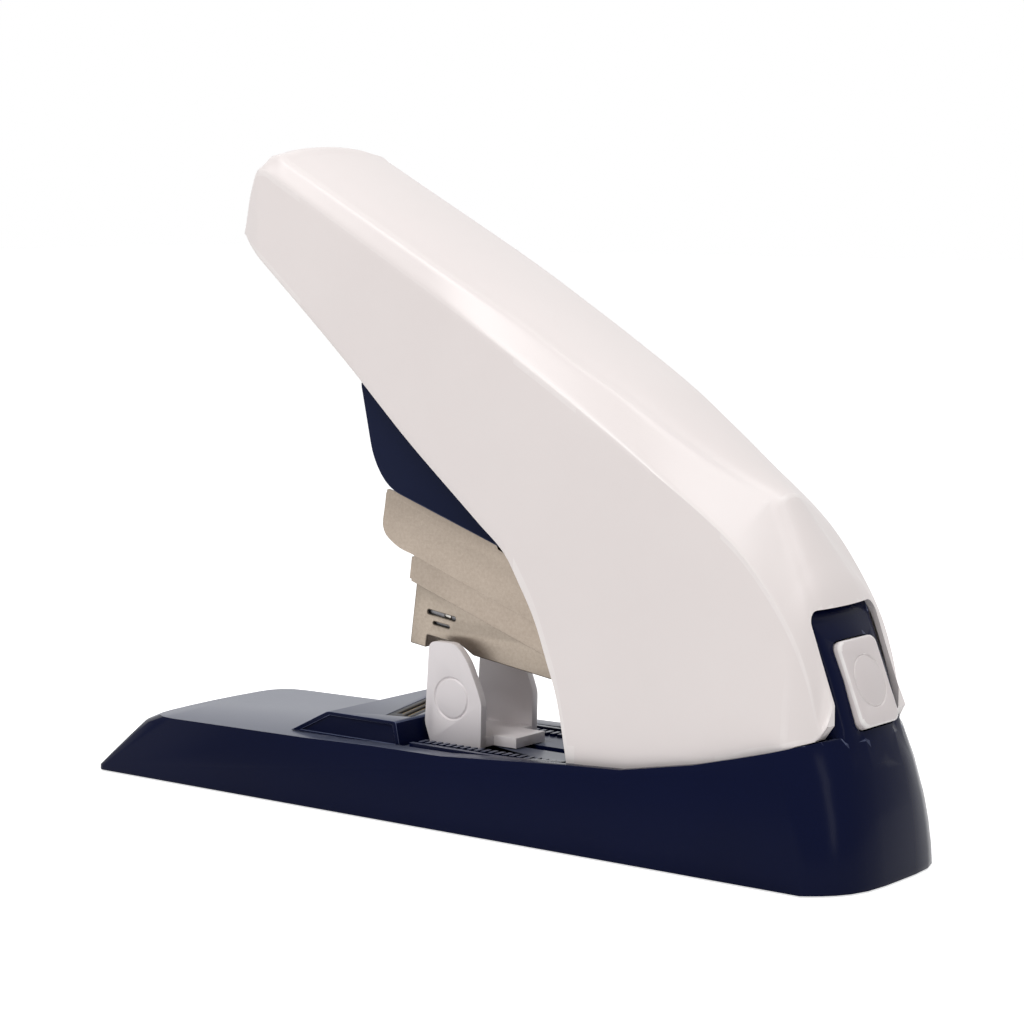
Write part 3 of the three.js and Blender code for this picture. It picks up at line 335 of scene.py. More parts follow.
clincherLook = {
    **sheetLook, "dark": colour(34, 36, 42), "light": colour(58, 60, 68), "rough": 0.4,
}
brassLook = {
    **sheetLook, "dark": colour(150, 118, 58), "light": colour(186, 152, 84),
    "edgeWearAndLightColour": colour(236, 214, 160), "rough": 0.26,
}

finishes = {
    "cover_plastic": plastic("coverPlastic", coverLook),
    "base_plastic": plastic("baseNavyPlastic", navyLook),
    "head_plastic": plastic("headNavyPlastic", headNavyLook),
    "table_plastic": plastic("tableNavyPlastic", tableLook),
    "grey_plastic": plastic("gaugeGreyPlastic", greyLook),
    "button_plastic": plastic("buttonGreyPlastic", buttonLook),
    "rubber": plastic("footRubber", rubberLook),
    "nickel_sheet": metal("nickelSheet", nickelLook),
    "magazine_sheet": metal("magazineSheet", magazineLook),
    "zinc_sheet": metal("zincSheet", zincLook),
    "plate_steel": metal("plateSteel", plateLook),
    "screw_steel": metal("screwSteel", screwLook),
    "pin_steel": metal("pinSteel", pinLook),
    "spring_steel": metal("springSteel", springLook),
    "roller_steel": metal("rollerSteel", rollerLook),
    "clincher_steel": metal("clincherSteel", clincherLook),
    "clincher_brass": metal("clincherBrass", brassLook),
}
report("materials")


def newPiece(name, mesh):
    piece = bpy.data.objects.new(name, mesh)
    bpy.context.scene.collection.objects.link(piece)
    return piece


def bakeModifiers(piece):
    # the evaluated mesh takes the place of the piece's own, and its modifiers go
    graph = bpy.context.evaluated_depsgraph_get()
    made = bpy.data.meshes.new_from_object(piece.evaluated_get(graph))
    piece.modifiers.clear()
    piece.data = made
    return piece


def markEdges(mesh, sharp=22.0, strip=0.44):
    # corner attribute "edge": 0 to 1 on faces narrower than strip mm, as their edges turn
    # outwards from less than half of sharp degrees to well past it
    work = bmesh.new()
    work.from_mesh(mesh)
    mildest = 0.4 * sharp
    values = []
    for face in work.faces:
        longest = max(line.calc_length() for line in face.edges)
        share = 0.0
        if face.calc_area() < strip * mm * longest:
            for line in face.edges:
                if len(line.link_faces) == 2 and line.is_convex:
                    turn = math.degrees(line.calc_face_angle(0.0))
                    share = max(share, min(1.0, max(0.0, (turn - mildest) / sharp)))
        values += [share] * len(face.loops)
    work.free()
    layer = mesh.attributes.get("edge") or mesh.attributes.new("edge", "FLOAT", "CORNER")
    layer.data.foreach_set("value", values)


def smoothShade(mesh, angle):
    mesh.shade_smooth()
    mesh.set_sharp_from_angle(angle=math.radians(angle))


def settle(piece, body, slotName, *nodesReplaced):
    piece.data.materials.clear()
    piece.data.materials.append(finishes[slotName])
    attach(piece, body)
    if nodesReplaced:
        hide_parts(*nodesReplaced)
    return piece


rounding = {
    "merge": 2e-6,  # metres between points that are one
    "flat": 0.6,  # degrees under which an edge inside a face goes
    "from": 34.0, "segments": 2, "shade": 38.0, "edgeWearAndLightStrip": 0.75, "edgeWearAndLightExtra": 0.1,
}


def softCopy(node, width, shape=None):
    # copy of a CAD node with its seams merged and its edges rounded
    mesh = frame["nodes"][node].data.copy()
    work = bmesh.new()
    work.from_mesh(mesh)
    bmesh.ops.remove_doubles(work, verts=work.verts, dist=rounding["merge"])
    bmesh.ops.dissolve_limit(work, angle_limit=math.radians(rounding["flat"]),
                             verts=work.verts, edges=work.edges)
    work.to_mesh(mesh)
    work.free()
    for layer in ("sharp_edge", "sharp_face", "custom_normal"):
        if layer in mesh.attributes:
            mesh.attributes.remove(mesh.attributes[layer])
    piece = newPiece(node + "_piece", mesh)
    if shape:
        shape(piece)
    tool = piece.modifiers.new("edges", "BEVEL")
    tool.width = width * mm
    tool.segments = rounding["segments"]
    tool.limit_method = "ANGLE"
    tool.angle_limit = math.radians(rounding["from"])
    tool.miter_outer = "MITER_ARC"
    tool.loop_slide = False
    bakeModifiers(piece)
    smoothShade(piece.data, rounding["shade"])
    markEdges(piece.data, strip=rounding["edgeWearAndLightStrip"] * width + rounding["edgeWearAndLightExtra"])
    return piece


def cutWith(piece, cutter, operation="DIFFERENCE"):
    tool = piece.modifiers.new("cut", "BOOLEAN")
    tool.operation = operation
    tool.solver = "MANIFOLD"
    tool.object = cutter
    bakeModifiers(piece)
    bpy.data.objects.remove(cutter)
    return piece


def meshPiece(name, rings, closed=False):
    # solid through rings of points: capped at both ends, or closed on itself
    work = bmesh.new()
    grid = [[work.verts.new(point) for point in ring] for ring in rings]
    pairs = zip(grid, grid[1:] + grid[:1] if closed else grid[1:])
    for a, b in pairs:
        for i in range(len(a)):
            k = (i + 1) % len(a)
            work.faces.new((a[i], a[k], b[k], b[i]))
    if not closed:
        work.faces.new(grid[0])
        work.faces.new(grid[-1])
    bmesh.ops.recalc_face_normals(work, faces=work.faces)
    mesh = bpy.data.meshes.new(name)
    work.to_mesh(mesh)
    work.free()
    return newPiece(name, mesh)


def prism(outline, low, high, along="x"):
    # outline of (y, z) points made solid along x, or of (x, z) points along y; metres
    if along == "x":
        return meshPiece("cutter", [[(end, a, b) for a, b in outline] for end in (low, high)])
    return meshPiece("cutter", [[(a, end, b) for a, b in outline] for end in (low, high)])


def turned(name, profile, place=Matrix(), steps=32, closed=False):
    # (radius, height) rows in mm turned about z, then placed
    turns = [2 * math.pi * k / steps for k in range(steps)]
    rings = [[(place @ Vector((radius * math.cos(turn), radius * math.sin(turn), z))) * mm
              for turn in turns] for radius, z in profile]
    return meshPiece(name, rings, closed)


grooveShape = {"above": 0.5, "taper": 0.35, "steps": 48}


def grooveCutter(place, radius, width, depth):
    # ring that sinks depth into the face at place, whose z axis points out of the face
    inner, outer = radius - width / 2, radius + width / 2
    above, taper = grooveShape["above"], grooveShape["taper"] * width
    profile = [(inner, above), (outer, above), (outer, 0), (outer - taper, -depth),
               (inner + taper, -depth), (inner, 0)]
    return turned("cutter", profile, place, grooveShape["steps"], True)


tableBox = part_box("paper_table")
tablePanel = {  # recess in each side of the paper table, off its front, back, top and foot
    "depth": 0.5, "top": 0.9, "foot": 0.5, "frontFoot": 3.2, "frontTop": 12.6,
    "rearTop": 2.2, "rearFoot": 1.3, "past": 1.0,
}


def shapeTable(piece):
    lo, hi = tableBox
    size = {key: value * mm for key, value in tablePanel.items()}
    foot, top = lo.z + size["foot"], hi.z - size["top"]
    panel = [(lo.x + size["frontFoot"], foot), (lo.x + size["frontTop"], top),
             (hi.x - size["rearTop"], top), (hi.x - size["rearFoot"], foot)]
    cutWith(piece, prism(panel, lo.y - size["past"], lo.y + size["depth"], "y"))
    cutWith(piece, prism(panel, hi.y - size["depth"], hi.y + size["past"], "y"))


gaugeDisc = {"fromFront": 8.1, "height": 11.3, "radius": 4.9, "groove": 0.8, "depth": 0.35}


def shapeGauge(piece):
    # a sunk ring on the outer face of each ear
    lo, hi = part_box("depth_gauge")
    x = lo.x + gaugeDisc["fromFront"] * mm
    z = deckTop + gaugeDisc["height"] * mm
    for y, turn in ((lo.y, 90), (hi.y, -90)):
        place = (Matrix.Translation(Vector((x, y, z)) / mm)
                 @ Matrix.Rotation(math.radians(turn), 4, "X"))
        cutWith(piece, grooveCutter(place, gaugeDisc["radius"], gaugeDisc["groove"],
                                    gaugeDisc["depth"]))


button = {
    "fromRear": 9, "height": 25.8, "lean": 21.4,
    "halfWidth": 7.8, "halfHeight": 9.8, "corner": 2.2, "leastCorner": 0.4,
    "proud": 0.6, "gap": 0.35, "disc": 5.8, "groove": 0.6, "depth": 0.25,
    "root": 2.0,  # how deep the new cap starts
    "rim": [(0.75, 0), (0.4, 0.12), (0.12, 0.4), (0, 0.8)],  # under the cap's top, inset
    "oldCap": (-1.4, 8), "oldCapSpare": 2,  # slab that takes the plain cap off
    "window": (-7, 6),  # depth of the hole for it in the base
}


def roundedRectangle(halfWidth, halfHeight, corner, steps=6):
    points = []
    for quarter in range(4):
        side = (1 if quarter in (0, 3) else -1, 1 if quarter < 2 else -1)
        middle = ((halfWidth - corner) * side[0], (halfHeight - corner) * side[1])
        for k in range(steps + 1):
            turn = (quarter + k / steps) * math.pi / 2
            points.append((middle[0] + corner * math.cos(turn),
                           middle[1] + corner * math.sin(turn)))
    return points


def onButtonFace(x, y, z):
    # mm in, with x out of the leaning face; metres out
    lean = Matrix.Rotation(-math.radians(button["lean"]), 3, "Y")
    origin = Vector((rearX - button["fromRear"] * mm, 0, deckTop + button["height"] * mm))
    return lean @ Vector((x, y, z)) * mm + origin


def buttonBlock(layers, extra=0.0):
    # rounded plate through rows of (out of the face, inset)
    rings = []
    for out, inset in layers:
        grown = extra - inset
        plan = roundedRectangle(button["halfWidth"] + grown, button["halfHeight"] + grown,
                                max(button["corner"] - inset, button["leastCorner"]))
        rings.append([onButtonFace(out, y, z) for y, z in plan])
    return meshPiece("cutter", rings)


def shapeButton(piece):
    # a wider cap with a rounded rim and a sunk ring takes the plain cap's place
    proud = button["proud"]
    cutWith(piece, buttonBlock([(out, 0) for out in button["oldCap"]], button["oldCapSpare"]))
    rim = [(proud - below, inset) for below, inset in button["rim"]]
    cutWith(piece, buttonBlock([(-button["root"], 0), *rim]), "UNION")
    place = (Matrix.Translation(onButtonFace(proud, 0, 0) / mm)
             @ Matrix.Rotation(-math.radians(button["lean"]), 4, "Y")
             @ Matrix.Rotation(math.radians(90), 4, "Y"))
    cutWith(piece, grooveCutter(place, button["disc"], button["groove"], button["depth"]))


def shapeBase(piece):
    # the button's hole follows the wider cap
    cutWith(piece, buttonBlock([(out, 0) for out in button["window"]], button["gap"]))


framePlate = {  # corners from the back of the base and the deck
    "outline": [(-108.6, 43.5), (-108.6, 49.5), (-98.6, 45.5), (-98.6, 37.5)], "sheet": 0.7,
}


def shapeFrame(piece):
    # the side sheets reach up behind the head cover's end
    outline = [(rearX + x * mm, deckTop + z * mm) for x, z in framePlate["outline"]]
    lo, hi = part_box("head_frame")
    sheet = framePlate["sheet"] * mm
    cutWith(piece, prism(outline, lo.y, lo.y + sheet, "y"), "UNION")
    cutWith(piece, prism(outline, hi.y - sheet, hi.y, "y"), "UNION")


deckFaces = {"flat": 0.97, "reach": 1.4}  # least upward turn, and mm off the level


def markDeck(mesh, level):
    # point attribute "deck": 1 on the faces of the flat top
    values = [0.0] * len(mesh.vertices)
    for face in mesh.polygons:
        near = abs(face.center.z - level) < deckFaces["reach"] * mm
        if near and face.normal.z > deckFaces["flat"]:
            for corner in face.vertices:
                values[corner] = 1.0
    mesh.attributes.new("deck", "FLOAT", "POINT").data.foreach_set("value", values)


# radius of the rounded edges of each piece that is carried over, in mm
edgeRadius = {
    "head_frame": 0.3, "magazine_guide": 0.25, "magazine_body": 0.28, "chassis": 0.3,
    "handle_lever": 0.3, "head_cover": 0.45, "depth_gauge": 0.4, "paper_table": 0.35,
    "clincher_housing": 0.2, "clincher_blade_front": 0.1, "clincher_blade_rear": 0.1,
    "clincher_carrier": 0.2, "driver_arm": 0.4, "driver_blade": 0.12, "staple_pusher": 0.15,
    "magazine_latch": 0.25, "gauge_retainer": 0.25, "gauge_screw": 0.15, "base_plate": 0.25,
    "head_pivot_pin": 0.3, "handle_pivot_pin": 0.3, "arm_pin": 0.2, "latch_pin": 0.15,
    "roller_pin": 0.2, "drive_roller": 0.4, "pusher_roll_spring": 0.2, "roll_axle": 0.15,
    "handle_pin_clip_left": 0.12, "handle_pin_clip_right": 0.12, "head_pin_clip_left": 0.12,
    "head_pin_clip_right": 0.12, "base_shell": 0.6, "release_button": 0.4,
    "foot_front_left": 0.2, "foot_front_right": 0.2, "foot_rear_left": 0.2,
    "foot_rear_right": 0.2,
}
shaping = {"paper_table": shapeTable, "depth_gauge": shapeGauge, "release_button": shapeButton,
           "base_shell": shapeBase, "head_frame": shapeFrame}
flatTops = {"base_shell": deckTop, "paper_table": tableBox[1].z}
for node, width in edgeRadius.items():
    piece = softCopy(node, width, shape=shaping.get(node))
    if node in flatTops:
        markDeck(piece.data, flatTops[node])
    settle(piece, bodyOfNode[node], slotOfNode[node], node)
report("rounded pieces")


def newTree(name, inputs):
    tree = bpy.data.node_groups.new(name, "GeometryNodeTree")
    sockets = {}
    for label, kind, value in inputs:
        socket = tree.interface.new_socket(label, in_out="INPUT", socket_type=kind)
        if value is not None:
            socket.default_value = value
        sockets[label] = socket.identifier
    tree.interface.new_socket("Geometry", in_out="OUTPUT", socket_type="NodeSocketGeometry")
    return tree, sockets, tree.nodes.new("NodeGroupInput"), tree.nodes.new("NodeGroupOutput")


def finishTree(tree, given, out, geometry):
    # realised, given its material and handed over
    real = tree.nodes.new("GeometryNodeRealizeInstances")
    tree.links.new(geometry, real.inputs["Geometry"])
    paint = tree.nodes.new("GeometryNodeSetMaterial")
    tree.links.new(real.outputs["Geometry"], paint.inputs["Geometry"])
    tree.links.new(given.outputs["Finish"], paint.inputs["Material"])
    tree.links.new(paint.outputs["Geometry"], out.inputs["Geometry"])


coilMesh = {"perTurn": 32, "round": 14}  # points along a turn, and round the wire


def coilTree():
    tree, sockets, given, out = newTree("coilSpring", [
        ("Radius", "NodeSocketFloat", 0.004), ("Wire", "NodeSocketFloat", 0.0006),
        ("Length", "NodeSocketFloat", 0.02), ("Turns", "NodeSocketFloat", 6.0),
        ("Place", "NodeSocketVector", (0, 0, 0)), ("Lay", "NodeSocketRotation", None),
        ("Finish", "NodeSocketMaterial", None)])
    spiral = tree.nodes.new("GeometryNodeCurveSpiral")
    spiral.inputs["Resolution"].default_value = coilMesh["perTurn"]
    for label, socket in (("Radius", "Start Radius"), ("Radius", "End Radius"),
                          ("Length", "Height"), ("Turns", "Rotations")):
        tree.links.new(given.outputs[label], spiral.inputs[socket])
    ring = tree.nodes.new("GeometryNodeCurvePrimitiveCircle")
    ring.inputs["Resolution"].default_value = coilMesh["round"]
    tree.links.new(given.outputs["Wire"], ring.inputs["Radius"])
    wire = tree.nodes.new("GeometryNodeCurveToMesh")
    wire.inputs["Fill Caps"].default_value = True
    tree.links.new(spiral.outputs["Curve"], wire.inputs["Curve"])
    tree.links.new(ring.outputs["Curve"], wire.inputs["Profile Curve"])
    place = tree.nodes.new("GeometryNodeTransform")
    tree.links.new(wire.outputs["Mesh"], place.inputs["Geometry"])
    tree.links.new(given.outputs["Place"], place.inputs["Translation"])
    tree.links.new(given.outputs["Lay"], place.inputs["Rotation"])
    finishTree(tree, given, out, place.outputs["Geometry"])
    return tree, sockets


def copiesTree():
    # one master piece on every point of the carrier's mesh
    tree, sockets, given, out = newTree("placeCopies", [
        ("Points", "NodeSocketGeometry", None), ("Master", "NodeSocketObject", None),
        ("Finish", "NodeSocketMaterial", None)])
    master = tree.nodes.new("GeometryNodeObjectInfo")
    tree.links.new(given.outputs["Master"], master.inputs["Object"])
    copies = tree.nodes.new("GeometryNodeInstanceOnPoints")
    tree.links.new(given.outputs["Points"], copies.inputs["Points"])
    tree.links.new(master.outputs["Geometry"], copies.inputs["Instance"])
    finishTree(tree, given, out, copies.outputs["Instances"])
    return tree, sockets


def grow(piece, tree, sockets, **values):
    # runs a tree on the piece and keeps the plain mesh
    tool = piece.modifiers.new("grow", "NODES")
    tool.node_group = tree
    for label, value in values.items():
        tool[sockets[label]] = value
    bakeModifiers(piece)
    smoothShade(piece.data, 40)
    markEdges(piece.data)
    return piece


coil, coilSockets = coilTree()
copies, copiesSockets = copiesTree()

# coil and wire radius in mm, and turns; a sideways coil lies along y
springs = {
    "head_lift_spring": {"coil": 4.0, "wire": 0.6, "turns": 6, "sideways": False},
    "handle_return_spring": {"coil": 3.5, "wire": 0.6, "turns": 2, "sideways": True},
    "latch_spring": {"coil": 1.9, "wire": 0.35, "turns": 2, "sideways": True},
}


def makeSpring(node, values):
    lo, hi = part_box(node)
    middle = (lo + hi) / 2
    wire = values["wire"] * mm
    if values["sideways"]:
        place, lay = (middle.x, hi.y - wire, middle.z), (math.pi / 2, 0, 0)
        length = hi.y - lo.y - 2 * wire
    else:
        place, lay = (middle.x, middle.y, lo.z + wire), (0, 0, 0)
        length = hi.z - lo.z - 2 * wire
    piece = newPiece(node + "_piece", bpy.data.meshes.new(node))
    grow(piece, coil, coilSockets, Radius=values["coil"] * mm, Wire=wire, Length=length,
         Turns=float(values["turns"]), Place=place, Lay=lay, Finish=finishes["spring_steel"])
    return settle(piece, bodyOfNode[node], slotOfNode[node], node)


for node, values in springs.items():
    piece = makeSpring(node, values)
    if node == "head_lift_spring":  # a mesh of its own, for the spring that shortens as the head comes down on it
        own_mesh(piece)

# mm: head radius and height, shaft radius and length; recess reach, half width and depth
screwKinds = {
    "base_screws": {
        "nodes": ["base_screw_front_left", "base_screw_front_right", "base_screw_rear_left",
                  "base_screw_rear_right"],
        "head": 2.6, "rise": 0.8, "shaft": 1.2, "length": 9.0, "recess": (1.5, 0.35, 0.5),
    },
    "cover_screws": {
        "nodes": ["cover_screw_front", "cover_screw_rear"],
        "head": 2.8, "rise": 1.6, "shaft": 1.5, "length": 11.0, "recess": (1.7, 0.4, 0.9),
    },
}
screwShape = {
    "rim": [(0.5, 0), (0.2, 0.1), (0, 0.35)],  # inset and fall of the head's edge
    "threadFrom": 1.0, "pitch": 0.9, "plain": 1.6, "threadDepth": 0.18, "rootFrom": 0.3,
    "rootTo": 0.5, "point": 0.5, "pointInset": 0.4,
    "recessTaper": 0.7, "recessAbove": 0.5, "steps": 24,
}


def screwProfile(head, rise, shaft, length):
    size = screwShape
    profile = [(head - inset, -rise + fall) for inset, fall in size["rim"]]
    profile += [(head, 0), (shaft, 0)]
    for k in range(int((length - size["plain"]) / size["pitch"])):  # thread, as shallow rings
        z = size["threadFrom"] + k * size["pitch"]
        root = shaft - size["threadDepth"]
        profile += [(shaft, z), (root, z + size["rootFrom"]), (root, z + size["rootTo"])]
    return profile + [(shaft, length - size["point"]), (shaft - size["pointInset"], length)]


def makeScrews(name, kind):
    rise = kind["rise"]
    profile = screwProfile(kind["head"], rise, kind["shaft"], kind["length"])
    master = turned("screwMaster", profile, steps=screwShape["steps"])
    reach, half, depth = kind["recess"]
    top, floor = (-rise - screwShape["recessAbove"]) * mm, (-rise + depth) * mm
    for long, wide in ((reach, half), (half, reach)):
        narrow = wide * screwShape["recessTaper"]
        slot = [(-wide * mm, top), (wide * mm, top), (narrow * mm, floor), (-narrow * mm, floor)]
        cutWith(master, prism(slot, -long * mm, long * mm))
    points = []
    for node in kind["nodes"]:
        lo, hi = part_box(node)
        points.append(((lo.x + hi.x) / 2, (lo.y + hi.y) / 2, lo.z + rise * mm))
    carrier = bpy.data.meshes.new(name)
    carrier.from_pydata(points, [], [])
    piece = newPiece(name, carrier)
    grow(piece, copies, copiesSockets, Master=master, Finish=finishes["screw_steel"])
    bpy.data.objects.remove(master)
    node = kind["nodes"][0]
    return settle(piece, bodyOfNode[node], slotOfNode[node], *kind["nodes"])


for name, kind in screwKinds.items():
    makeScrews(name, kind)
report("springs and screws")

cover = {
    "wall": 2.3, "halfWidth": 22.2, "crown": 2.2, "rearCrown": 4.2, "skirtTop": 14.0, "lip": 0.4,
    "shoulderRound": 1.5, "crestRound": 1.2, "sideBulge": 1.5,
    "backGap": 9.1,  # back of the cover ahead of the back of the base
}
# rows in mm: distance from the handle's tip (front) or the back of the base (rear), height
# over the deck, then the shoulder's inset from the half width, or half the face's own width
shoulderFront = [
    (0, 121, 3.4), (4, 131.4, 1.6), (7, 136, 0.8), (9, 135.9, 0.7), (12, 134.3, 0.7),
    (29.5, 124.7, 0.8), (60, 108, 0.7),
]
shoulderRear = [
    (-77.7, 87.3, 0.3), (-49.8, 69.9, 0.3), (-37.1, 61.2, 1.0), (-29.5, 54.8, 1.9),
    (-22, 45.7, 2.8), (-16.4, 36.6, 3.6), (-12.8, 27.2, 4.4), (-10.4, 16.5, 5), (-8.6, 10, 6),
]
topFront = [
    (0, 123, 14), (4, 132.4, 16), (6.6, 137.4, 17.5), (8.6, 139.2, 18.4), (11.4, 139.3, 19),
    (15, 137.5, 19.1), (19, 135.4, 19.1), (57.5, 115.2, 19.2),
]
topRear = [
    (-91.4, 101.7, 17.2), (-77.8, 93.6, 16.9), (-64.1, 85.6, 15.3), (-54.6, 79.2, 14),
    (-45.7, 73.3, 12.2), (-37.4, 68, 9.5), (-30.9, 64.1, 6.5),
]
backFace = [
    (-30.9, 64.1, 6.5), (-25.2, 55.6, 9), (-20.2, 48.2, 11.4), (-16.3, 41.9, 13.3),
    (-12.4, 31.4, 13.8), (-8.6, 20.9, 14),
]
# skirt: inset only; open lower edge: height only
skirtFront = [(0, 3.4), (2.5, 1.4), (7, 0.7), (60, 0.7)]
skirtRear = [(-70, 0), (-17, 0), (-14.4, 1.2), (-11.4, 3.8), (-8.6, 7.2)]
edgeFront = [(0, 120.5), (9.5, 112.5), (34.8, 90.4), (53.3, 73.2)]
edgeRear = [
    (-99.4, 55.3), (-92, 49.1), (-87.7, 42.5), (-83.3, 34.7), (-79.6, 25.2), (-76.8, 17.2),
    (-73.6, 1.3), (-35.4, 5.5), (-30.6, 6.8), (-25.4, 9.4), (-17, 12.4), (-15.4, 13.3),
    (-14.2, 13.95), (-11.2, 14.9), (-8.6, 18.8),
]
coverMesh = {
    "fine": 0.55, "coarse": 1.4,  # mm between sections
    "nose": 20, "back": 26, "foot": (90, 72),  # stretches where they are fine
    "least": 0.4,  # mm that two sections, or two edges in one, stand apart
    "backKey": 29.4, "sideSteps": 16, "shoulderSteps": 5, "crestSteps": 6, "topSteps": 10,
    "merge": 3e-6, "empty": 1e-6, "shade": 32, "edgeWearAndLightSharp": 14, "edgeWearAndLightStrip": 0.8,
}

tipMm = handleTipX / mm
rearMm = rearX / mm
deckMm = deckTop / mm


def lengthwise(front, rear):
    # both lists of rows in one, by distance along the object
    rows = [(tipMm + x, *rest) for x, *rest in front] + [(rearMm + x, *rest) for x, *rest in rear]
    return sorted(rows)


def curveThrough(rows, column=1):
    # smooth curve through the rows that never swings past them
    xs = [row[0] for row in rows]
    ys = [row[column] for row in rows]
    count = len(xs)
    slopes = [(ys[i + 1] - ys[i]) / (xs[i + 1] - xs[i]) for i in range(count - 1)]
    tangents = [slopes[0]]
    for before, after in zip(slopes, slopes[1:]):
        tangents.append(0.0 if before * after <= 0 else 2 * before * after / (before + after))
    tangents.append(slopes[-1])

    def value(x):
        if x <= xs[0]:
            return ys[0] + tangents[0] * (x - xs[0])
        if x >= xs[-1]:
            return ys[-1] + tangents[-1] * (x - xs[-1])
        i = next(k for k in range(count - 1) if x <= xs[k + 1])
        gap = xs[i + 1] - xs[i]
        t = (x - xs[i]) / gap
        return ((2 * t ** 3 - 3 * t ** 2 + 1) * ys[i]
                + (t ** 3 - 2 * t ** 2 + t) * gap * tangents[i]
                + (3 * t ** 2 - 2 * t ** 3) * ys[i + 1]
                + (t ** 3 - t ** 2) * gap * tangents[i + 1])
    return value


def straightThrough(rows, column=1):
    def value(x):
        if x <= rows[0][0]:
            return rows[0][column]
        for a, b in zip(rows, rows[1:]):
            if x <= b[0]:
                return a[column] + (b[column] - a[column]) * (x - a[0]) / (b[0] - a[0])
        return rows[-1][column]
    return value


shoulderRows = lengthwise(shoulderFront, shoulderRear)
shoulderHeight = curveThrough(shoulderRows, 1)
shoulderInset = curveThrough(shoulderRows, 2)
topRows = lengthwise(topFront, topRear)
backRows = lengthwise([], backFace)
topLine = curveThrough(topRows, 1)
backLine = curveThrough(backRows, 1)
topHalf = curveThrough(topRows, 2)
backHalf = curveThrough(backRows, 2)
tongueEnd = backRows[0][0]  # where the top face's edge meets the back face's edge
skirtInset = curveThrough(lengthwise(skirtFront, skirtRear), 1)
openEdge = lengthwise(edgeFront, edgeRear)
sweepEnd = rearMm - 73.6  # where the swept front edge meets the base
same = 0.01  # mm that a row may lie past it
lowerSweep = curveThrough([row for row in openEdge if row[0] <= sweepEnd + same], 1)
lowerStraight = straightThrough([row for row in openEdge if row[0] >= sweepEnd - same], 1)


def lowerEdge(x):
    return lowerSweep(x) if x < sweepEnd else lowerStraight(x)


def rounded(before, corner, after, radius, steps):
    # points of a soft corner, its reach limited by its two edges
    corner = Vector(corner)
    toBefore = Vector(before) - corner
    toAfter = Vector(after) - corner
    most = 0.42  # share of an edge that the corner may take
    start = corner + toBefore.normalized() * min(radius, most * toBefore.length)
    end = corner + toAfter.normalized() * min(radius, most * toAfter.length)
    return [((1 - t) ** 2) * start + 2 * t * (1 - t) * corner + (t ** 2) * end
            for t in (k / (steps - 1) for k in range(steps))]


def crownedTop(x, y, wall, crest):
    # the lower of the crowned top face and the more crowned back face
    topShare = y / max(topHalf(min(x, tongueEnd)), 1.0)
    backShare = y / max(backHalf(max(x, tongueEnd)), 1.0)
    top = topLine(x) + cover["crown"] * (1 - topShare ** 2)
    back = backLine(x) + cover["rearCrown"] * (1 - backShare ** 2)
    return max(min(top, back) - wall, crest)


def coverSection(x, wall=0.0):
    # half of the cover's section, from its lower edge to the middle of its top
    least = coverMesh["least"]
    skirt = cover["halfWidth"] - skirtInset(x) - wall
    upper = cover["halfWidth"] - shoulderInset(x) - wall
    low = lowerEdge(x)
    high = max(shoulderHeight(x) - 0.6 * wall, low + least)
    crest = max(min(topLine(x), backLine(x)) - wall, high + least)
    half = topHalf(x) if x < tongueEnd else backHalf(x)
    half = min(half, upper + wall - 0.8) - 0.5 * wall
    lip = 0.0 if wall else cover["lip"]

    def sideY(z):
        rise = (z - cover["skirtTop"]) / max(high - cover["skirtTop"], 1.0)
        share = max(0.0, min(1.0, rise))
        return upper + (skirt - upper) * (1 - share ** cover["sideBulge"])

    soft = 0.29  # a rounded lip, as one point between its two edges
    points = [Vector((sideY(low) - lip, low)), Vector((sideY(low) - soft * lip, low + soft * lip))]
    stop = high - min(cover["shoulderRound"], 0.3 * (high - low))
    start = low + min(max(lip, 0.1), 0.3 * (stop - low))
    steps = coverMesh["sideSteps"]
    for k in range(steps):
        z = start + (stop - start) * k / (steps - 1)
        points.append(Vector((sideY(z), z)))
    corner, topEdge = (upper, high), (half, crest)
    points += rounded(points[-1], corner, topEdge, cover["shoulderRound"],
                      coverMesh["shoulderSteps"])[1:]
    inwards = 0.55 * half
    turn = rounded(corner, topEdge, (inwards, crownedTop(x, inwards, wall, crest)),
                   cover["crestRound"], coverMesh["crestSteps"])
    steps = coverMesh["shoulderSteps"]
    last, following = points[-1], turn[0]
    points += [last + (following - last) * k / steps for k in range(1, steps)]
    points += turn
    start = points[-1]
    steps = coverMesh["topSteps"]
    middle = crownedTop(x, 0, wall, crest)
    for k in range(1, steps + 1):  # from a straight line into the crown
        t = k / steps
        y = start.x * (1 - t)
        line = start.y + (middle - start.y) * t
        crown = crownedTop(x, y, wall, crest)
        points.append(Vector((y, line + (crown - line) * min(1.0, t * 3))))
    return points


def coverStations():
    # closer together at the nose, along the swept edge's foot and round the back
    start, end = tipMm, rearMm - cover["backGap"]
    footFrom, footTo = (rearMm - reach for reach in coverMesh["foot"])
    stations = [start]
    while stations[-1] < end - coverMesh["least"]:
        x = stations[-1]
        near = x < start + coverMesh["nose"] or x > end - coverMesh["back"] or footFrom < x < footTo
        stations.append(min(x + coverMesh["fine" if near else "coarse"], end))
    for key in (sweepEnd, tongueEnd, rearMm - coverMesh["backKey"]):
        nearest = min(range(len(stations)), key=lambda k: abs(stations[k] - key))
        stations[nearest] = key
    return stations


